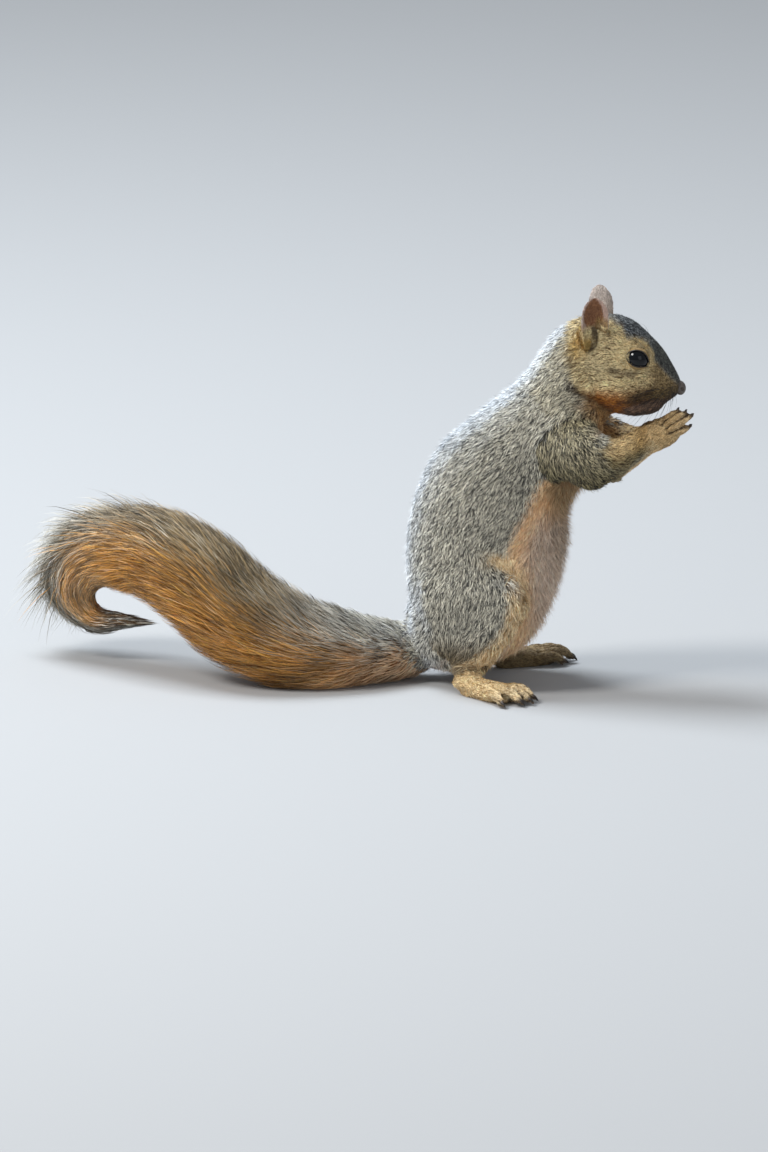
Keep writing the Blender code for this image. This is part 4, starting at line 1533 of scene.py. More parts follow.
@dataclass
class Fur:
    """The short coat: tufts over the skin, in several pieces.

    A single hair is too fine to show, so each tuft is as wide as several.
    """

    skin: Skin
    lie: Lie
    clump: float = 2.6
    gather: float = 0.22
    stray: float = 0.20
    clump_stray: float = 0.16
    shade: float = 0.10
    clump_shade: float = 0.07
    twist: float = 0.45
    rooted: float = 0.25  # how deep in the skin a tuft starts
    divide: float = 100.0  # the height between the chest's pieces and the loin's
    lifted: float = 0.10  # the share of hairs that stand proud of the coat
    banded: float = 0.6  # the share of hairs whose tips have a tone of their own

    def scatter(self, rng: Random) -> tuple[Roots, Array]:
        """Scatter roots over the skin by density.

        Args:
            rng: Source of random numbers.

        Returns:
            The roots and the coat's fields at each.
        """
        corners = self.skin.points[self.skin.triangles]
        faces = np.cross(corners[:, 1] - corners[:, 0], corners[:, 2] - corners[:, 0])
        area = np.linalg.norm(faces, axis=1) / 2
        density = self.skin.fields[self.skin.triangles, 3].mean(1)
        wanted = area * density
        count = np.floor(wanted + rng.random(len(wanted))).astype(int)
        chosen = np.repeat(np.arange(len(count)), count)
        mix = rng.random((len(chosen), 2))
        mix = np.where(mix.sum(1, keepdims=True) > 1, 1 - mix, mix)
        weights = np.column_stack([1 - mix.sum(1), mix])[:, :, None]
        corner = self.skin.triangles[chosen]
        points = (self.skin.points[corner] * weights).sum(1)
        normals = unit((self.skin.normals[corner] * weights).sum(1))
        fields = (self.skin.fields[corner] * weights).sum(1)
        first = corner[:, 0]
        roots = Roots(points, normals, self.skin.roots.parts[first], self.skin.roots.sides[first])
        return roots, fields

    def build(self) -> list[Piece]:
        """Make every piece of the short coat.

        Returns:
            The pieces.
        """
        rng = np.random.default_rng(SEED)
        roots, fields = self.scatter(rng)
        look = Coat("guard_hair_body").build()
        left, high = roots.points[:, 1] > 0, roots.points[:, 2] > self.divide
        sets = (
            ("coat_chest_left", (Part.TRUNK,), left & high, "body_coat"),
            ("coat_chest_right", (Part.TRUNK,), ~left & high, "body_coat"),
            ("coat_loin_left", (Part.TRUNK, Part.TAIL), left & ~high, "body_coat"),
            ("coat_loin_right", (Part.TRUNK, Part.TAIL), ~left & ~high, "body_coat"),
            ("coat_neck", (Part.NECK,), True, "body_coat"),
            ("coat_head", (Part.HEAD, Part.NOSE), True, "body_coat"),
            ("coat_ears", (Part.EAR,), True, "ear_skin"),
            ("coat_arms", (Part.UPPER_ARM, Part.FOREARM), True, "body_coat"),
            ("coat_legs", (Part.THIGH, Part.SHANK), True, "body_coat"),
            ("coat_paws", (Part.HAND, Part.FOOT), True, "foot_coat"),
        )
        surface = BVHTree.FromPolygons(self.skin.points.tolist(), self.skin.triangles.tolist())
        pieces = []
        for name, parts, where, slot in sets:
            chosen = np.nonzero((roots.on(*parts) > 0) & where)[0]
            piece = self.tufts(name, roots.take(chosen), fields[chosen], look, surface, rng)
            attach(piece, BODY)
            pieces.append(piece)
        return pieces

    def laid(self, points: Array, height: Array, surface: BVHTree) -> Array:
        """Bring points to a height over the skin.

        Args:
            points: The points.
            height: The height for each.
            surface: The skin, ready for nearest-point questions.

        Returns:
            The moved points.
        """
        near = [surface.find_nearest(p)[:2] for p in points.tolist()]
        foot = np.array([n[0] for n in near])
        face = np.array([n[1] for n in near])
        outward = points - foot
        outward *= np.sign((outward * face).sum(1, keepdims=True))
        way = unit(unit(outward) + face)
        return foot + way * height[:, None]

    def tufts(
        self, name: str, roots: Roots, fields: Array, look: Look, surface: BVHTree, rng: Random
    ) -> Piece:
        """Make one piece of coat.

        Args:
            name: The piece's name.
            roots: The tufts' roots.
            fields: Depth, length, width and density at each root.
            look: The material.
            surface: The skin.
            rng: Source of random numbers.

        Returns:
            The piece.
        """
        count = len(roots.points)
        depth, length, width = fields[:, 0], fields[:, 1], fields[:, 2]
        way = self.lie.at(roots)
        cell = np.floor(roots.points / self.clump).astype(np.int64)
        key = (cell * np.array((73856093, 19349663, 83492791))).sum(1) % CLUMPS
        clump_turn = rng.normal(0, self.clump_stray, CLUMPS)[key]
        clump_tone = rng.normal(0, self.clump_shade, CLUMPS)[key]
        turn = clump_turn + rng.normal(0, self.stray, count)
        beside = np.cross(roots.normals, way)
        way = way * np.cos(turn)[:, None] + beside * np.sin(turn)[:, None]
        beside = np.cross(roots.normals, way)
        length = length * rng.uniform(0.75, 1.2, count)
        height = depth * rng.uniform(0.72, 1.04, count)
        centre = (cell + 0.5) * self.clump
        pull = (centre - roots.points) * self.gather
        pull -= roots.normals * (pull * roots.normals).sum(1, keepdims=True)
        middle = roots.points + way * (0.5 * length)[:, None] + pull * 0.4
        tip = roots.points + way * length[:, None] + pull
        middle = self.laid(middle, 0.84 * height + 0.12, surface)
        past = roots.points[:, 0] - np.interp(roots.points[:, 2], *Pattern.belly_line)
        belly = roots.on(Part.TRUNK) * ramp(4, 12, past)
        proud = 1 + (0.45 + 0.5 * belly) * (rng.random(count) < self.lifted + 0.22 * belly)
        tip = self.laid(tip, height * proud * rng.uniform(0.80, 1.12, count) + 0.15, surface)
        base = roots.points - roots.normals * self.rooted
        roll = rng.normal(0, self.twist, count)
        broad = beside * np.cos(roll)[:, None] + roots.normals * np.sin(roll)[:, None]
        broad *= (0.5 * width * rng.uniform(0.75, 1.25, count))[:, None]
        points = np.stack([base - 0.55 * broad, base + 0.55 * broad, middle - broad, middle + broad, tip], 1)
        points[..., 2] = np.maximum(points[..., 2], FLOOR_GAP)
        first = np.arange(count)[:, None] * 5
        quads = first + np.array((0, 1, 3, 2))
        points_faces = first + np.array((2, 3, 4))
        where = self.skin.space.to_frame(points.reshape(-1, 3))
        piece = new_mesh_object(name, where, [quads, points_faces], look)
        paint(piece, self.colours(roots, clump_tone, rng).reshape(-1, 3))
        along, across = np.array(((0, 0, 0.5, 0.5, 1), (0, 1, 0, 1, 0.5)))
        lay_bake_map(piece, bake_patches(*bake_places(roots), along, across))
        return piece

    def colours(self, roots: Roots, clump_tone: Array, rng: Random) -> Array:
        """Colour the tufts from root to tip.

        Args:
            roots: The roots.
            clump_tone: A lighter or darker tone for each clump.
            rng: Source of random numbers.

        Returns:
            A colour for each of a tuft's five points.
        """
        count = len(roots.points)
        pattern = Pattern(roots)
        pale = rng.random(count) < pattern.share
        inner = np.where(rng.random(count) < self.banded, rng.random(count) < pattern.share, pale)
        tone = (1 + clump_tone + rng.normal(0, self.shade, count))[:, None]
        tip = np.where(pale[:, None], pattern.light, pattern.dark) * tone
        band = 0.5 * pattern.light + 0.5 * pattern.dark
        middle = (0.85 * np.where(inner[:, None], pattern.light, pattern.dark) + 0.15 * band) * tone
        root = pattern.under * 0.6
        return np.stack([root, root, middle, middle, tip], 1)


def bake_patches(u: Array, v: Array, along: Array, across: Array) -> Array:
    """Lay a small patch of the bake map for each hair.

    Args:
        u: Each root's place across the map, from 0 to 1.
        v: Its place up the map.
        along: Root-to-tip place of each of a hair's points.
        across: Side-to-side place of each.

    Returns:
        Map coordinates for every point, hair by hair.
    """
    u, v = (BAKE_MARGIN + (1 - 2 * BAKE_MARGIN) * place for place in (u, v))
    patch_u = u[:, None] + (across[None] - 0.5) * BAKE_PATCH
    patch_v = v[:, None] + (along[None] - 0.5) * BAKE_PATCH
    return np.stack([patch_u, patch_v], -1).reshape(-1, 2)


def bake_places(roots: Roots) -> tuple[Array, Array]:
    """Find each tuft's place on an unwrap of the skin.

    Each part is unrolled round its own long axis, in a strip of its own. The angle is the normal's,
    which keeps the two faces of a thin ear apart.

    Args:
        roots: The roots.

    Returns:
        Places across and up the map, from 0 to 1.
    """
    keys = roots.parts * 3 + roots.sides + 1
    strips = np.unique(keys)
    u, v = np.empty(len(keys)), np.empty(len(keys))
    for number, key in enumerate(strips):
        chosen = keys == key
        points = roots.points[chosen]
        offset = points - points.mean(0)
        axes = np.linalg.eigh(offset.T @ offset)[1]
        axis, first, second = axes[:, 2], axes[:, 1], axes[:, 0]
        face = roots.normals[chosen] + 0.02 * offset
        angle = np.arctan2(face @ second, face @ first) / (2 * math.pi) + 0.5
        run = offset @ axis
        u[chosen] = (number + 0.02 + 0.96 * angle) / len(strips)
        v[chosen] = (run - run.min()) / max(float(np.ptp(run)), 1e-6)
    return u, v


@dataclass
class TailHair:
    """The tail's long hair: it springs from the core, sweeps back and fans up and down."""

    space: Space
    tail: Tail
    count: int = 60000
    pieces: int = 3
    shortest: float = 17.0
    longest: float = 41.0
    width: float = 0.52  # several hairs' width, as one is too fine to show
    fan: float = 0.16
    wispy: float = 0.10  # the share of hairs that reach past the outline
    loose: float = 0.5  # the share of hairs outside the curl that fly straight on
    flyaway: float = 1.25  # how much longer those reach
    clump_run: float = 5.0  # a clump's length along the tail
    clump_turn: float = 0.35  # and its angle about it
    stray: float = 0.16
    clump_stray: float = 0.18
    twist: float = 0.5
    droop: float = 0.12
    row_gap: float = 19.0  # distance between rows of dark flecks
    rows: tuple = (0.0, 0.3, 0.58, 0.82, 1.0)

    def build(self) -> list[Piece]:
        """Make the hair in lengths.

        Returns:
            The pieces.
        """
        rng = np.random.default_rng(SEED + 1)
        look = Coat("guard_hair_tail", roughness=0.5).build()
        run = np.sort(rng.uniform(0, self.tail.length, self.count))
        names = ("coat_tail_root", "coat_tail_middle", "coat_tail_end")
        pieces = []
        for name, part in zip(names, np.array_split(run, self.pieces)):
            piece = self.hairs(name, part, look, rng)
            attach(piece, BODY)
            pieces.append(piece)
        return pieces

    def hairs(self, name: str, run: Array, look: Look, rng: Random) -> Piece:
        """Make one length of hair.

        Args:
            name: The piece's name.
            run: Where each hair springs from, along the tail.
            look: The material.
            rng: Source of random numbers.

        Returns:
            The piece.
        """
        count, steps = len(run), np.array(self.rows)
        turn = rng.uniform(0, 2 * math.pi, count)
        cell = np.floor(run / self.clump_run) * 97 + np.floor(turn / self.clump_turn)
        clump = rng.normal(0, 1.0, (TAIL_CLUMPS, 4))[cell.astype(int) % TAIL_CLUMPS]
        share = run / self.tail.length
        reach = self.shortest + (self.longest - self.shortest) * ramp(0, 0.28, share)
        reach *= 1 - 0.6 * ramp(0.84, 0.97, share)
        reach *= rng.uniform(0.72, 1.12, count) * (1 + 0.06 * clump[:, 0])
        full = 1 - 0.42 * rng.random(count) ** 1.4 + 0.04 * np.abs(clump[:, 1])
        outer = ramp(0.55, 0.75, share) * ramp(-0.2, 0.5, np.sin(turn)) * ramp(0.97, 0.9, share)
        wisp = rng.random(count) < self.wispy + 0.32 * outer
        full = np.where(wisp, rng.uniform(1, 1.12, count) + 0.35 * outer * rng.random(count) ** 2, full)
        ragged = ramp(0.86, 0.94, share)
        full *= 1 + ragged * rng.uniform(-0.4, 0.9, count)
        reach *= 1 + ragged * rng.uniform(-0.5, 0.5, count)
        rise = 1 - (1 - steps[None]) ** 2.1
        along = run[:, None] + reach[:, None] * steps[None]
        swing = self.fan * np.sin(2 * turn)[:, None] * steps[None] ** 1.3
        swing += (self.clump_stray * clump[:, 2] + rng.normal(0, self.stray, count))[:, None] * steps[None]
        angle = turn[:, None] + swing
        inner = np.repeat(self.tail.core_radius(run)[:, None] * 0.9, len(steps), 1)
        line = self.tail.place(along, angle, rise * full[:, None], inner)
        loose = rng.random(count) * (rng.random(count) < self.loose * outer * ramp(0.87, 0.80, share))
        foot = np.repeat(run[:, None], len(steps), 1)
        straight = self.tail.place(foot, angle, rise * full[:, None], inner)
        straight += self.tail.ahead(run)[:, None] * (reach[:, None] * steps[None] * self.flyaway)[..., None]
        straight[..., 2] -= self.droop * reach[:, None] * steps[None] ** 2
        line = blend(line, straight, loose[:, None, None] ** 0.5)
        line[..., 2] = np.maximum(line[..., 2], 0.3 + 1.5 * rng.random(count)[:, None] * steps[None])
        ahead = unit(np.gradient(line, axis=1))
        outward = unit(line - self.tail.place(along, angle, rise * 0, inner * 0) + 1e-6)
        beside = unit(np.cross(outward, ahead))
        roll = rng.normal(0, self.twist, count)[:, None, None]
        broad = beside * np.cos(roll) + np.cross(ahead, beside) * np.sin(roll)
        taper = np.interp(steps, (0.0, 0.25, 0.7, 1.0), (0.7, 1.0, 0.72, 0.0))
        broad = broad * (0.5 * self.width * rng.uniform(0.7, 1.3, count)[:, None] * taper[None])[..., None]
        last = len(steps) - 1
        pairs = np.stack([line[:, :last] - broad[:, :last], line[:, :last] + broad[:, :last]], 2)
        points = np.concatenate([pairs.reshape(count, 2 * last, 3), line[:, last:]], 1)
        points[..., 2] = np.maximum(points[..., 2], FLOOR_GAP)
        each = 2 * last + 1
        first = np.arange(count)[:, None] * each
        quads = [first + np.array((2 * k, 2 * k + 1, 2 * k + 3, 2 * k + 2)) for k in range(last - 1)]
        tips = first + np.array((each - 3, each - 2, each - 1))
        where = self.space.to_frame(points.reshape(-1, 3))
        piece = new_mesh_object(name, where, [np.vstack(quads), tips], look)
        tones = self.colours(turn, share, clump, rng)
        per_point = np.concatenate([np.repeat(tones[:, :last], 2, 1), tones[:, last:]], 1)
        paint(piece, per_point.reshape(-1, 3))
        marks = np.concatenate([np.repeat(steps[:last], 2), [1.0]])
        sides = np.concatenate([np.tile((0.0, 1.0), last), [0.5]])
        up = (run - run.min()) / float(np.ptp(run))
        lay_bake_map(piece, bake_patches(turn / (2 * math.pi), up, marks, sides))
        return piece

    def colours(self, turn: Array, share: Array, clump: Array, rng: Random) -> Array:
        """Band the hairs: orange below, black and buff above, pale tips.

        Args:
            turn: Angle about the tail.
            share: Place along it, from 0 to 1.
            clump: Random numbers shared by each clump.
            rng: Source of random numbers.

        Returns:
            A colour at each row of each hair.
        """
        count = len(turn)
        orange, deep, black = (np.array(linear(c)) for c in ("#eaa84e", "#a06228", "#1d1b18"))
        buff, cream, grey = (np.array(linear(c)) for c in ("#9a9070", "#f0ece0", "#8a8880"))
        above = ramp(-0.30, 0.40, np.sin(turn) + rng.normal(0, 0.14, count))[:, None, None]
        end = ramp(0.56, 0.78, share)[:, None, None]
        steps = np.array(self.rows)[None, :, None]
        shift = (0.06 * clump[:, 0] + rng.normal(0, 0.06, count))[:, None, None]
        place = np.clip(steps + shift, 0, 1)
        phase = 2 * math.pi * share * self.tail.length / self.row_gap
        wave = np.sin(phase + 2.2 * np.sin(2 * turn) + 0.8 * clump[:, 1])
        flecked = (0.75 * clump[:, 3] + rng.normal(0, 0.7, count) > 0.05 - 0.8 * wave)[:, None, None]
        dark_low = np.exp(-(((place - 0.42) / 0.14) ** 2))
        dark_high = np.exp(-(((place - 0.78) / 0.13) ** 2))
        base = blend(deep, orange, ramp(0.05, 0.45, place))
        dorsal = base * 0.25 + buff * 0.75
        tip = ramp(0.86, 1, place)
        dorsal = blend(dorsal, black, np.clip(0.6 * dark_low + 0.95 * dark_high * (0.35 + flecked), 0, 1))
        dorsal = blend(dorsal, buff * 0.5 + cream * 0.5, tip * np.where(flecked, 0.3, 1.0))
        dark_end = np.maximum(dark_high, 0.8 * (place > 0.8))
        ventral = blend(base, black, np.where(flecked, 0.9, 0.05) * dark_end)
        ventral = blend(ventral, orange * 0.6 + cream * 0.4, tip * ~flecked)
        hair = blend(ventral, dorsal, above)
        outer = blend(hair, grey * 0.5 + buff * 0.5, 0.6 * above)
        dark_middle = np.exp(-(((place - 0.55) / 0.17) ** 2))
        outer = blend(outer, black, 0.42 * dark_middle * np.clip(above + 0.3, 0, 1))
        pale_tip = ramp(0.54, 0.84, place) * np.where(flecked, 0.6, 1.0)
        outer = blend(outer, cream, pale_tip * np.clip(above + 0.15, 0, 1))
        last_dark = 0.7 * ramp(0.90, 0.97, share)[:, None, None] * ramp(0.2, 0.5, place)
        outer = blend(outer, black * 1.4, last_dark * flecked)
        hair = blend(hair, outer, end)
        streak = black * 1.6 + (rng.random(count) < 0.25)[:, None, None] * (cream - black)
        hair = blend(hair, streak, 0.8 * ramp(0.88, 0.96, share)[:, None, None] * ramp(0.1, 0.4, place))
        root = ramp(0.32, 0.08, share)[:, None, None]
        salt = (rng.random(count) < 0.8)[:, None, None]
        grown = ramp(0.2, 0.6, place)
        grizzle = blend(grey * 0.4, np.where(salt, cream, black), grown)
        low = np.where(salt, cream * 0.45 + orange * 0.6, deep * 0.8 + black * 0.2)
        low = blend(grey * 0.2 + deep * 0.65, low, grown)
        hair = blend(hair, grizzle, root * above)
        hair = blend(hair, low, ramp(0.24, 0.06, share)[:, None, None] * (1 - above))
        return hair * (1 + 0.20 * clump[:, 1] + rng.normal(0, 0.18, count))[:, None, None].clip(0.3, 1.8)


# --- Face, claws and whiskers ---


@dataclass
class Eye:
    """An eyeball with a bulging cornea, in an almond opening between dark lids."""

    space: Space
    side: int
    radius: float = 7.4
    sunk: float = 1.1  # how far behind the frame's eye this larger ball lies
    cornea_rise: float = 0.4
    lid_gap: float = 0.25
    half_length: float = 6.4
    upper: float = 4.3
    lower: float = 4.2
    corner_drop: float = 1.4
    rings: int = 48
    ball_rings: int = 33
    ball_sides: int = 48
    gaze: tuple = (0.30, 0.93, 0.16)

    @property
    def name(self) -> str:
        """Left or right."""
        return "left" if self.side > 0 else "right"

    def axes(self) -> tuple[Array, Array, Array, Array]:
        """Give the eye's place and ways.

        Returns:
            The centre, the gaze, and the forward and upward ways.
        """
        mirror = np.array((1.0, float(self.side), 1.0))
        gaze = unit(np.array(self.gaze)) * mirror
        centre = np.array(EYE_PLACE) * mirror - gaze * self.sunk
        up = np.array((0.35, 0.0, 1.0))
        up = unit(up - gaze * (up @ gaze))
        ahead = np.cross(gaze, up)
        ahead = ahead * np.sign(ahead[0])
        return centre, gaze, ahead, up

    def ball(self, look: Look) -> Piece:
        """Make the eyeball.

        Args:
            look: Its material.

        Returns:
            The object.
        """
        centre, gaze, ahead, up = self.axes()
        polar = np.linspace(0, math.pi, self.ball_rings)[:, None]
        turn = circle(self.ball_sides)[None]
        rise = self.cornea_rise * np.clip(1 - (polar / 0.95) ** 2, 0, 1) ** 2
        radius = self.radius + rise
        shape = (
            gaze * (radius * np.cos(polar) * np.ones_like(turn))[..., None]
            + ahead * (radius * np.sin(polar) * np.cos(turn))[..., None]
            + up * (radius * np.sin(polar) * np.sin(turn))[..., None]
        )
        points = centre + shape.reshape(-1, 3)
        faces = grid_faces(self.ball_rings, self.ball_sides, self.side < 0)
        piece = new_mesh_object(f"eyeball_{self.name}", self.space.to_frame(points), [faces], look)
        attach(piece, BODY)
        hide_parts(f"eye_{self.name}")
        return piece

    def edge(self, turn: Array) -> tuple[Array, Array]:
        """Give the almond opening's edge, forward and up from the eye's middle.

        Args:
            turn: Angle about the gaze, from the front corner up.

        Returns:
            Forward and upward distances.
        """
        front = np.clip(np.cos(turn), 0, 1)
        height = np.where(np.sin(turn) > 0, self.upper, self.lower)
        forward = np.cos(turn) * self.half_length + 0.9 * front**6
        upward = np.sin(turn) * height * (1 - 0.25 * front**2) - self.corner_drop * front**3
        return forward, upward

    def ring(self, radius: float, extra: float) -> Array:
        """Give a ring of points round the opening.

        Args:
            radius: Distance from the eye's centre.
            extra: Distance outside the opening's edge.

        Returns:
            The points.
        """
        centre, gaze, ahead, up = self.axes()
        turn = circle(self.rings * 2)
        forward, upward = self.edge(turn)
        spread = np.hypot(forward, upward)
        way = np.stack([forward, upward], -1) / spread[:, None]
        angle = np.arcsin(np.clip(spread / radius, 0.0, 0.98)) + extra / radius
        flat = np.sin(angle)[:, None] * way * radius
        return centre + gaze * (np.cos(angle) * radius)[:, None] + flat[:, :1] * ahead + flat[:, 1:] * up

    def lids(self) -> tuple[Array, Array]:
        """Shape both lids as one surface that dips under the skin.

        Returns:
            Points and triangles.
        """
        inner = self.radius + self.lid_gap
        profile = ((inner - 0.2, 0.25), (inner + 0.25, 0.2), (inner + 0.45, 0.7), (inner + 0.45, 1.4))
        profile += ((inner + 0.3, 2.2), (inner - 0.1, 3.2), (inner - 1, 4.4))
        quads = grid_faces(len(profile), self.rings * 2, self.side > 0)
        points = np.vstack([self.ring(*row) for row in profile])
        return points, halved(quads)

    def rim(self, look: Look) -> Piece:
        """Make the dark, wet margin of the lids.

        Args:
            look: The material.

        Returns:
            The object.
        """
        inner = self.radius + self.lid_gap
        profile = ((inner - 0.35, 0.35), (inner - 0.1, 0.0), (inner + 0.3, 0.0), (inner + 0.55, 0.35))
        profile += ((inner + 0.62, 0.8), (inner + 0.35, 1.15))
        faces = grid_faces(len(profile), self.rings * 2, self.side > 0)
        points = self.space.to_frame(np.vstack([self.ring(*row) for row in profile]))
        piece = new_mesh_object(f"lid_rim_{self.name}", points, [faces], look)
        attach(piece, BODY)
        return piece


@dataclass
class Nose:
    """The bare pad: a rounded wedge with a comma-shaped nostril each side."""

    space: Space
    centre: tuple = (115.7, 0.0, 175.9)
    half: tuple = (3.4, 4.1, 4.2)
    rings: int = 49
    sides: int = 72
    dip: float = -10.0
    groove_depth: float = 0.55
    nostril: tuple = (0.62, 0.72, -0.12)
    nostril_size: float = 0.34
    nostril_depth: float = 1.5

    def build(self, look: Look) -> Piece:
        """Make the nose.

        Args:
            look: The material.

        Returns:
            The object.
        """
        polar = np.linspace(0, math.pi, self.rings)[:, None]
        turn = circle(self.sides)[None]
        ring = np.sin(polar)
        ball = np.stack([np.cos(polar) * np.ones_like(turn), ring * np.cos(turn), ring * np.sin(turn)], -1)
        ball = ball.reshape(-1, 3)
        shape = ball * np.array(self.half)
        shape[:, 1] *= 1 - 0.28 * ramp(0, -1, ball[:, 2])
        groove = np.exp(-((ball[:, 1] / 0.10) ** 2)) * ramp(0.2, -0.6, ball[:, 2]) * ramp(0, 0.5, ball[:, 0])
        shape[:, 0] -= self.groove_depth * groove
        for sign in (1.0, -1.0):
            hole = unit(np.array(self.nostril) * (1, sign, 1))
            gap = ball - hole
            along = gap @ unit(np.array((-0.75, 0.35 * sign, 0.55)))
            gap = np.sqrt(np.maximum((gap**2).sum(1) - 0.65 * along**2, 0.0))
            shape -= ball * (self.nostril_depth * ramp(self.nostril_size, 0.1, gap))[:, None]
        dip = math.radians(self.dip)
        turned = shape @ np.array(Matrix.Rotation(dip, 3, "Y")).T
        faces = grid_faces(self.rings, self.sides, True)
        points = self.space.to_frame(turned + np.array(self.centre))
        piece = new_mesh_object("nose_pad", points, [faces], look)
        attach(piece, BODY)
        return piece


@dataclass
class Claws:
    """Thin hooked claws on every digit, in the places of the frame's plain ones."""

    space: Space
    sides: int = 10
    rings: int = 9
    arch: float = 0.30
    hand_scale: float = 0.72
    foot_scale: float = 1.1
    end_band: float = 0.3  # how much of each end is read, to find its middle
    thinnest: float = 0.55

    def build(self, look: Look) -> list[Piece]:
        """Make one piece for each claw node.

        Args:
            look: The material.

        Returns:
            The pieces.
        """
        pieces = []
        for node, source in sorted(frame_nodes().items()):
            if "claw" in node:
                pieces.append(self.claw(node, source, look))
        return pieces

    def claw(self, node: str, source: Piece, look: Look) -> Piece:
        """Make one claw along the node's own axis.

        Args:
            node: The node's name.
            source: The node.
            look: The material.

        Returns:
            The piece.
        """
        points = self.space.to_body(mesh_arrays(source.data)[0])
        offset = points - points.mean(0)
        axis = np.linalg.eigh(offset.T @ offset)[1][:, 2]
        run = offset @ axis
        ends = [points[run > run.max() - self.end_band], points[run < run.min() + self.end_band]]
        ends.sort(key=lambda e: -float(np.ptp(e, axis=0).max()))
        root, tip = ends[0].mean(0), ends[1].mean(0)
        thick = max(self.thinnest, float(np.linalg.norm(ends[0] - root, axis=1).max()) * 0.9)
        share = np.linspace(0, 1, self.rings)
        length = float(np.linalg.norm(tip - root))
        size = self.hand_scale if node.startswith("hand") else self.foot_scale
        length, thick = length * size, thick * size
        line = root + np.outer(share, (tip - root) * size)
        line[:, 2] += self.arch * length * (4 * share * (1 - share)) * 0.6
        radii = thick * (1 - share) ** 0.75 + 0.06
        shape, faces = tube(line, radii, self.sides)
        piece = new_mesh_object(f"{node}_horn", self.space.to_frame(shape), faces, look)
        tone, pale = (np.array(linear(code)) for code in ("#1a1512", "#5a4a3c"))
        places = np.concatenate([np.repeat(share, self.sides), [0.0, 1.0]])[:, None]
        paint(piece, blend(tone, pale, (1 - places) ** 3))
        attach(piece, BODY)
        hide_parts(node)
        return piece


@dataclass
class Whiskers:
    """Stiff hairs of the muzzle, brow and chin, in one piece."""

    space: Space
    skin: Skin
    rows: int = 4
    columns: int = 5
    longest: float = 38.0
    thick: float = 0.14  # the radius at the root, a little over life, so that they show

    def build(self, look: Look) -> Piece:
        """Make the whiskers.

        Args:
            look: The material.

        Returns:
            The object.
        """
        rng = np.random.default_rng(SEED + 2)
        surface = BVHTree.FromPolygons(self.skin.points.tolist(), self.skin.triangles.tolist())
        points, quads, caps, offset = [], [], [], 0
        for side in (1.0, -1.0):
            for place, way, length in self.places(side, rng):
                root = np.array(surface.find_nearest(place.tolist())[0])
                share = np.linspace(0, 1, 9)[:, None]
                droop = np.array((-0.25, 0.0, -0.35)) * length
                line = root + way * length * share + droop * share**2.2
                shape, (sheet, ends) = tube(line, self.thick * (1.02 - share[:, 0]), 4)
                points.append(shape)
                quads.append(sheet + offset)
                caps.append(ends + offset)
                offset += len(shape)
        where = self.space.to_frame(np.vstack(points))
        piece = new_mesh_object("whiskers", where, [np.vstack(quads), np.vstack(caps)], look)
        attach(piece, BODY)
        return piece

    def places(self, side: float, rng: Random) -> list[tuple[Array, Array, float]]:
        """Set out one side's whiskers.

        Args:
            side: 1 on the left and -1 on the right.
            rng: Source of random numbers.

        Returns:
            Root, way and length of each.
        """
        found = []
        for row in range(self.rows):
            for column in range(self.columns):
                back = column / (self.columns - 1)
                high = 178 - 2.4 * row - 1.5 * back
                root = np.array((111 - 8 * back, side * (5.2 + 5 * back), high))
                way = np.array((0.25 - 0.75 * back, side * 0.95, 0.25 - 0.22 * row))
                way = unit(way + rng.normal(0, 0.08, 3))
                found.append((root, way, self.longest * (0.4 + 0.6 * back) * rng.uniform(0.8, 1.1)))
        for number in range(3):
            root = np.array((98 - 3 * number, side * 13.5, 205.0))
            way = unit(np.array((-0.2 - 0.2 * number, side * 0.7, 0.75)))
            found.append((root, way, 16 + 3 * number))
        return found


# --- Studio ---


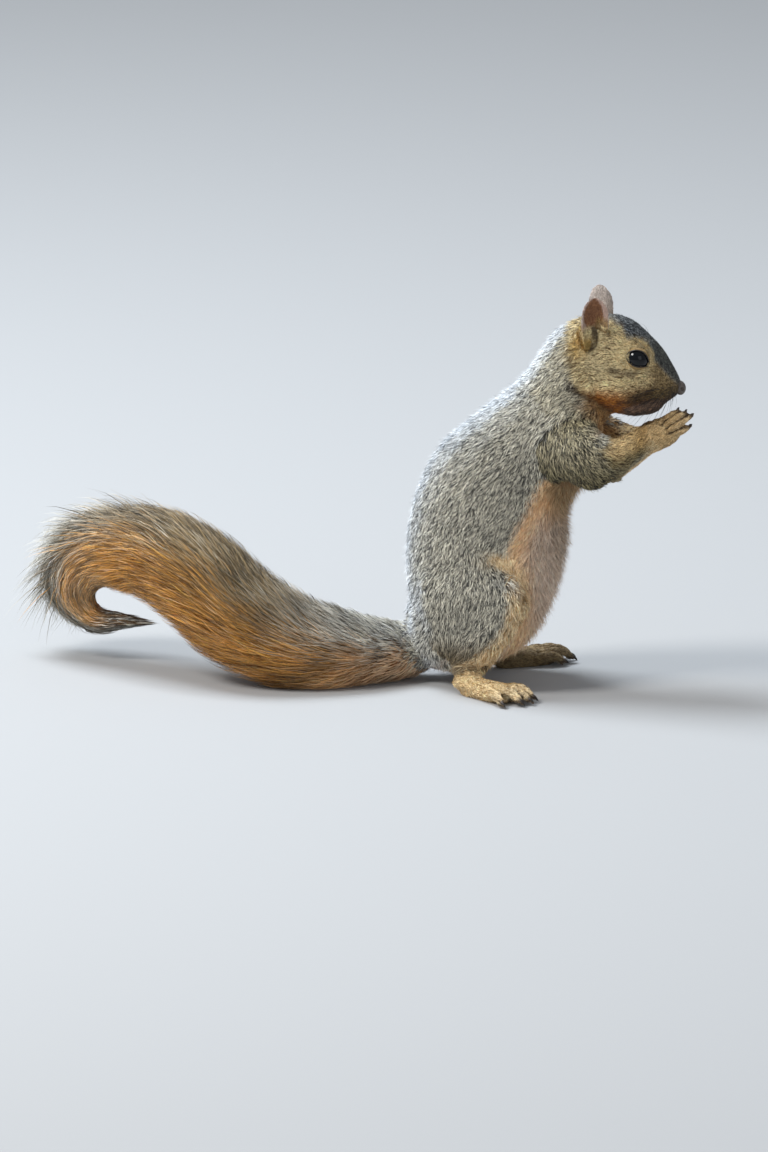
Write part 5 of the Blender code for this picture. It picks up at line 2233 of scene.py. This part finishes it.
@dataclass
class Studio:
    """A pale floor, soft lights and the camera."""

    space: Space
    azimuth: float = 10.0
    elevation: float = 12.5
    distance: float = 8.0  # in metres
    aim: tuple = (-55.7, 0.0, 59.3)
    field_height: float = 658.3
    sensor: float = 36.0
    nearer: float = 0.04  # the framing is measured this much nearer than the aim, in metres
    floor_size: float = 14.0  # in metres

    def build(self) -> None:
        """Make the floor, lights, sky and camera."""
        self.floor()
        self.lights()
        self.camera()

    def floor(self) -> None:
        """Lay the floor at the level of the soles."""
        half = self.floor_size / 2
        points = np.array([(-half, -half, 0), (half, -half, 0), (half, half, 0), (-half, half, 0)], float)
        look = Smooth("matt_floor_paper", "#b2b2b2", 0.9).build()
        piece = new_mesh_object("floor", points, [np.array([[0, 1, 2, 3]])], look)

    def lights(self) -> None:
        """Hang soft lights high behind, low ahead and overhead, under a pale sky."""
        aim = Vector(self.space.to_frame(np.array((0.0, 0.0, 110.0))))
        for name, place, size, power, colour in (
            ("key_light", (-1.7, -1.3, 2.3), 0.85, 62.0, (1.0, 0.99, 0.97)),
            ("fill_light", (1.7, -1.9, 0.9), 1.6, 7.0, (0.97, 0.98, 1.0)),
            ("top_light", (-1.2, 0.5, 2.4), 1.2, 86.0, (0.84, 0.92, 1.0)),
        ):
            data = bpy.data.lights.new(name, "AREA")
            data.size = size
            data.energy = power
            data.color = colour
            lamp = bpy.data.objects.new(name, data)
            lamp.location = place
            lamp.rotation_euler = (aim - Vector(place)).to_track_quat("-Z", "Y").to_euler()
            bpy.context.scene.collection.objects.link(lamp)
        world = bpy.data.worlds.new("pale_sky")
        world.use_nodes = True
        sky = world.node_tree.nodes["Background"]
        sky.inputs["Color"].default_value = (0.86, 0.92, 1.0, 1.0)
        sky.inputs["Strength"].default_value = 0.38
        bpy.context.scene.world = world
        bpy.context.scene.view_settings.view_transform = "Standard"

    def camera(self) -> None:
        """Set the camera a long way off with a long lens."""
        azimuth, elevation = math.radians(self.azimuth), math.radians(self.elevation)
        level = math.cos(elevation)
        back = Vector((math.sin(azimuth) * level, -math.cos(azimuth) * level, math.sin(elevation)))
        data = bpy.data.cameras.new("camera")
        data.sensor_width = self.sensor
        data.lens = self.sensor * (self.distance - self.nearer) / (self.field_height * MM)
        data.clip_end = 60.0
        camera = bpy.data.objects.new("camera", data)
        camera.location = Vector(self.space.to_frame(np.array(self.aim))) + back * self.distance
        camera.rotation_euler = back.to_track_quat("Z", "Y").to_euler()
        bpy.context.scene.collection.objects.link(camera)
        bpy.context.scene.camera = camera


def main() -> None:
    """Build the squirrel and its studio."""
    logging.basicConfig(level=logging.INFO, format="%(message)s")
    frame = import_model()
    LOG.info("frame: %d nodes", len(frame["nodes"]))
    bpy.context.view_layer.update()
    space = space_of_eye()
    tail = Tail()
    skin = Skin(space, tail)
    pieces = [skin.build()]
    pieces += Fur(skin, Lie()).build()
    pieces += TailHair(space, tail).build()
    wet_eye = WetEye().build()
    rim = BareSkin("lid_rim_skin", "#2a211d", "#120e0d", 0.38, 0.6).build()
    for side in (1, -1):
        eye = Eye(space, side)
        pieces += [eye.ball(wet_eye), eye.rim(rim)]
    pieces.append(Nose(space).build(BareSkin("nose_pad_skin", "#74695f", "#3a332f", 0.42, 0.5).build()))
    pieces += Claws(space).build(Horn().build())
    pieces.append(Whiskers(space, skin).build(Bristle().build()))
    for piece in pieces:
        LOG.info("%s: %d faces", piece.name, len(piece.data.polygons))
    Studio(space).build()


if __name__ == "__main__":
    main()
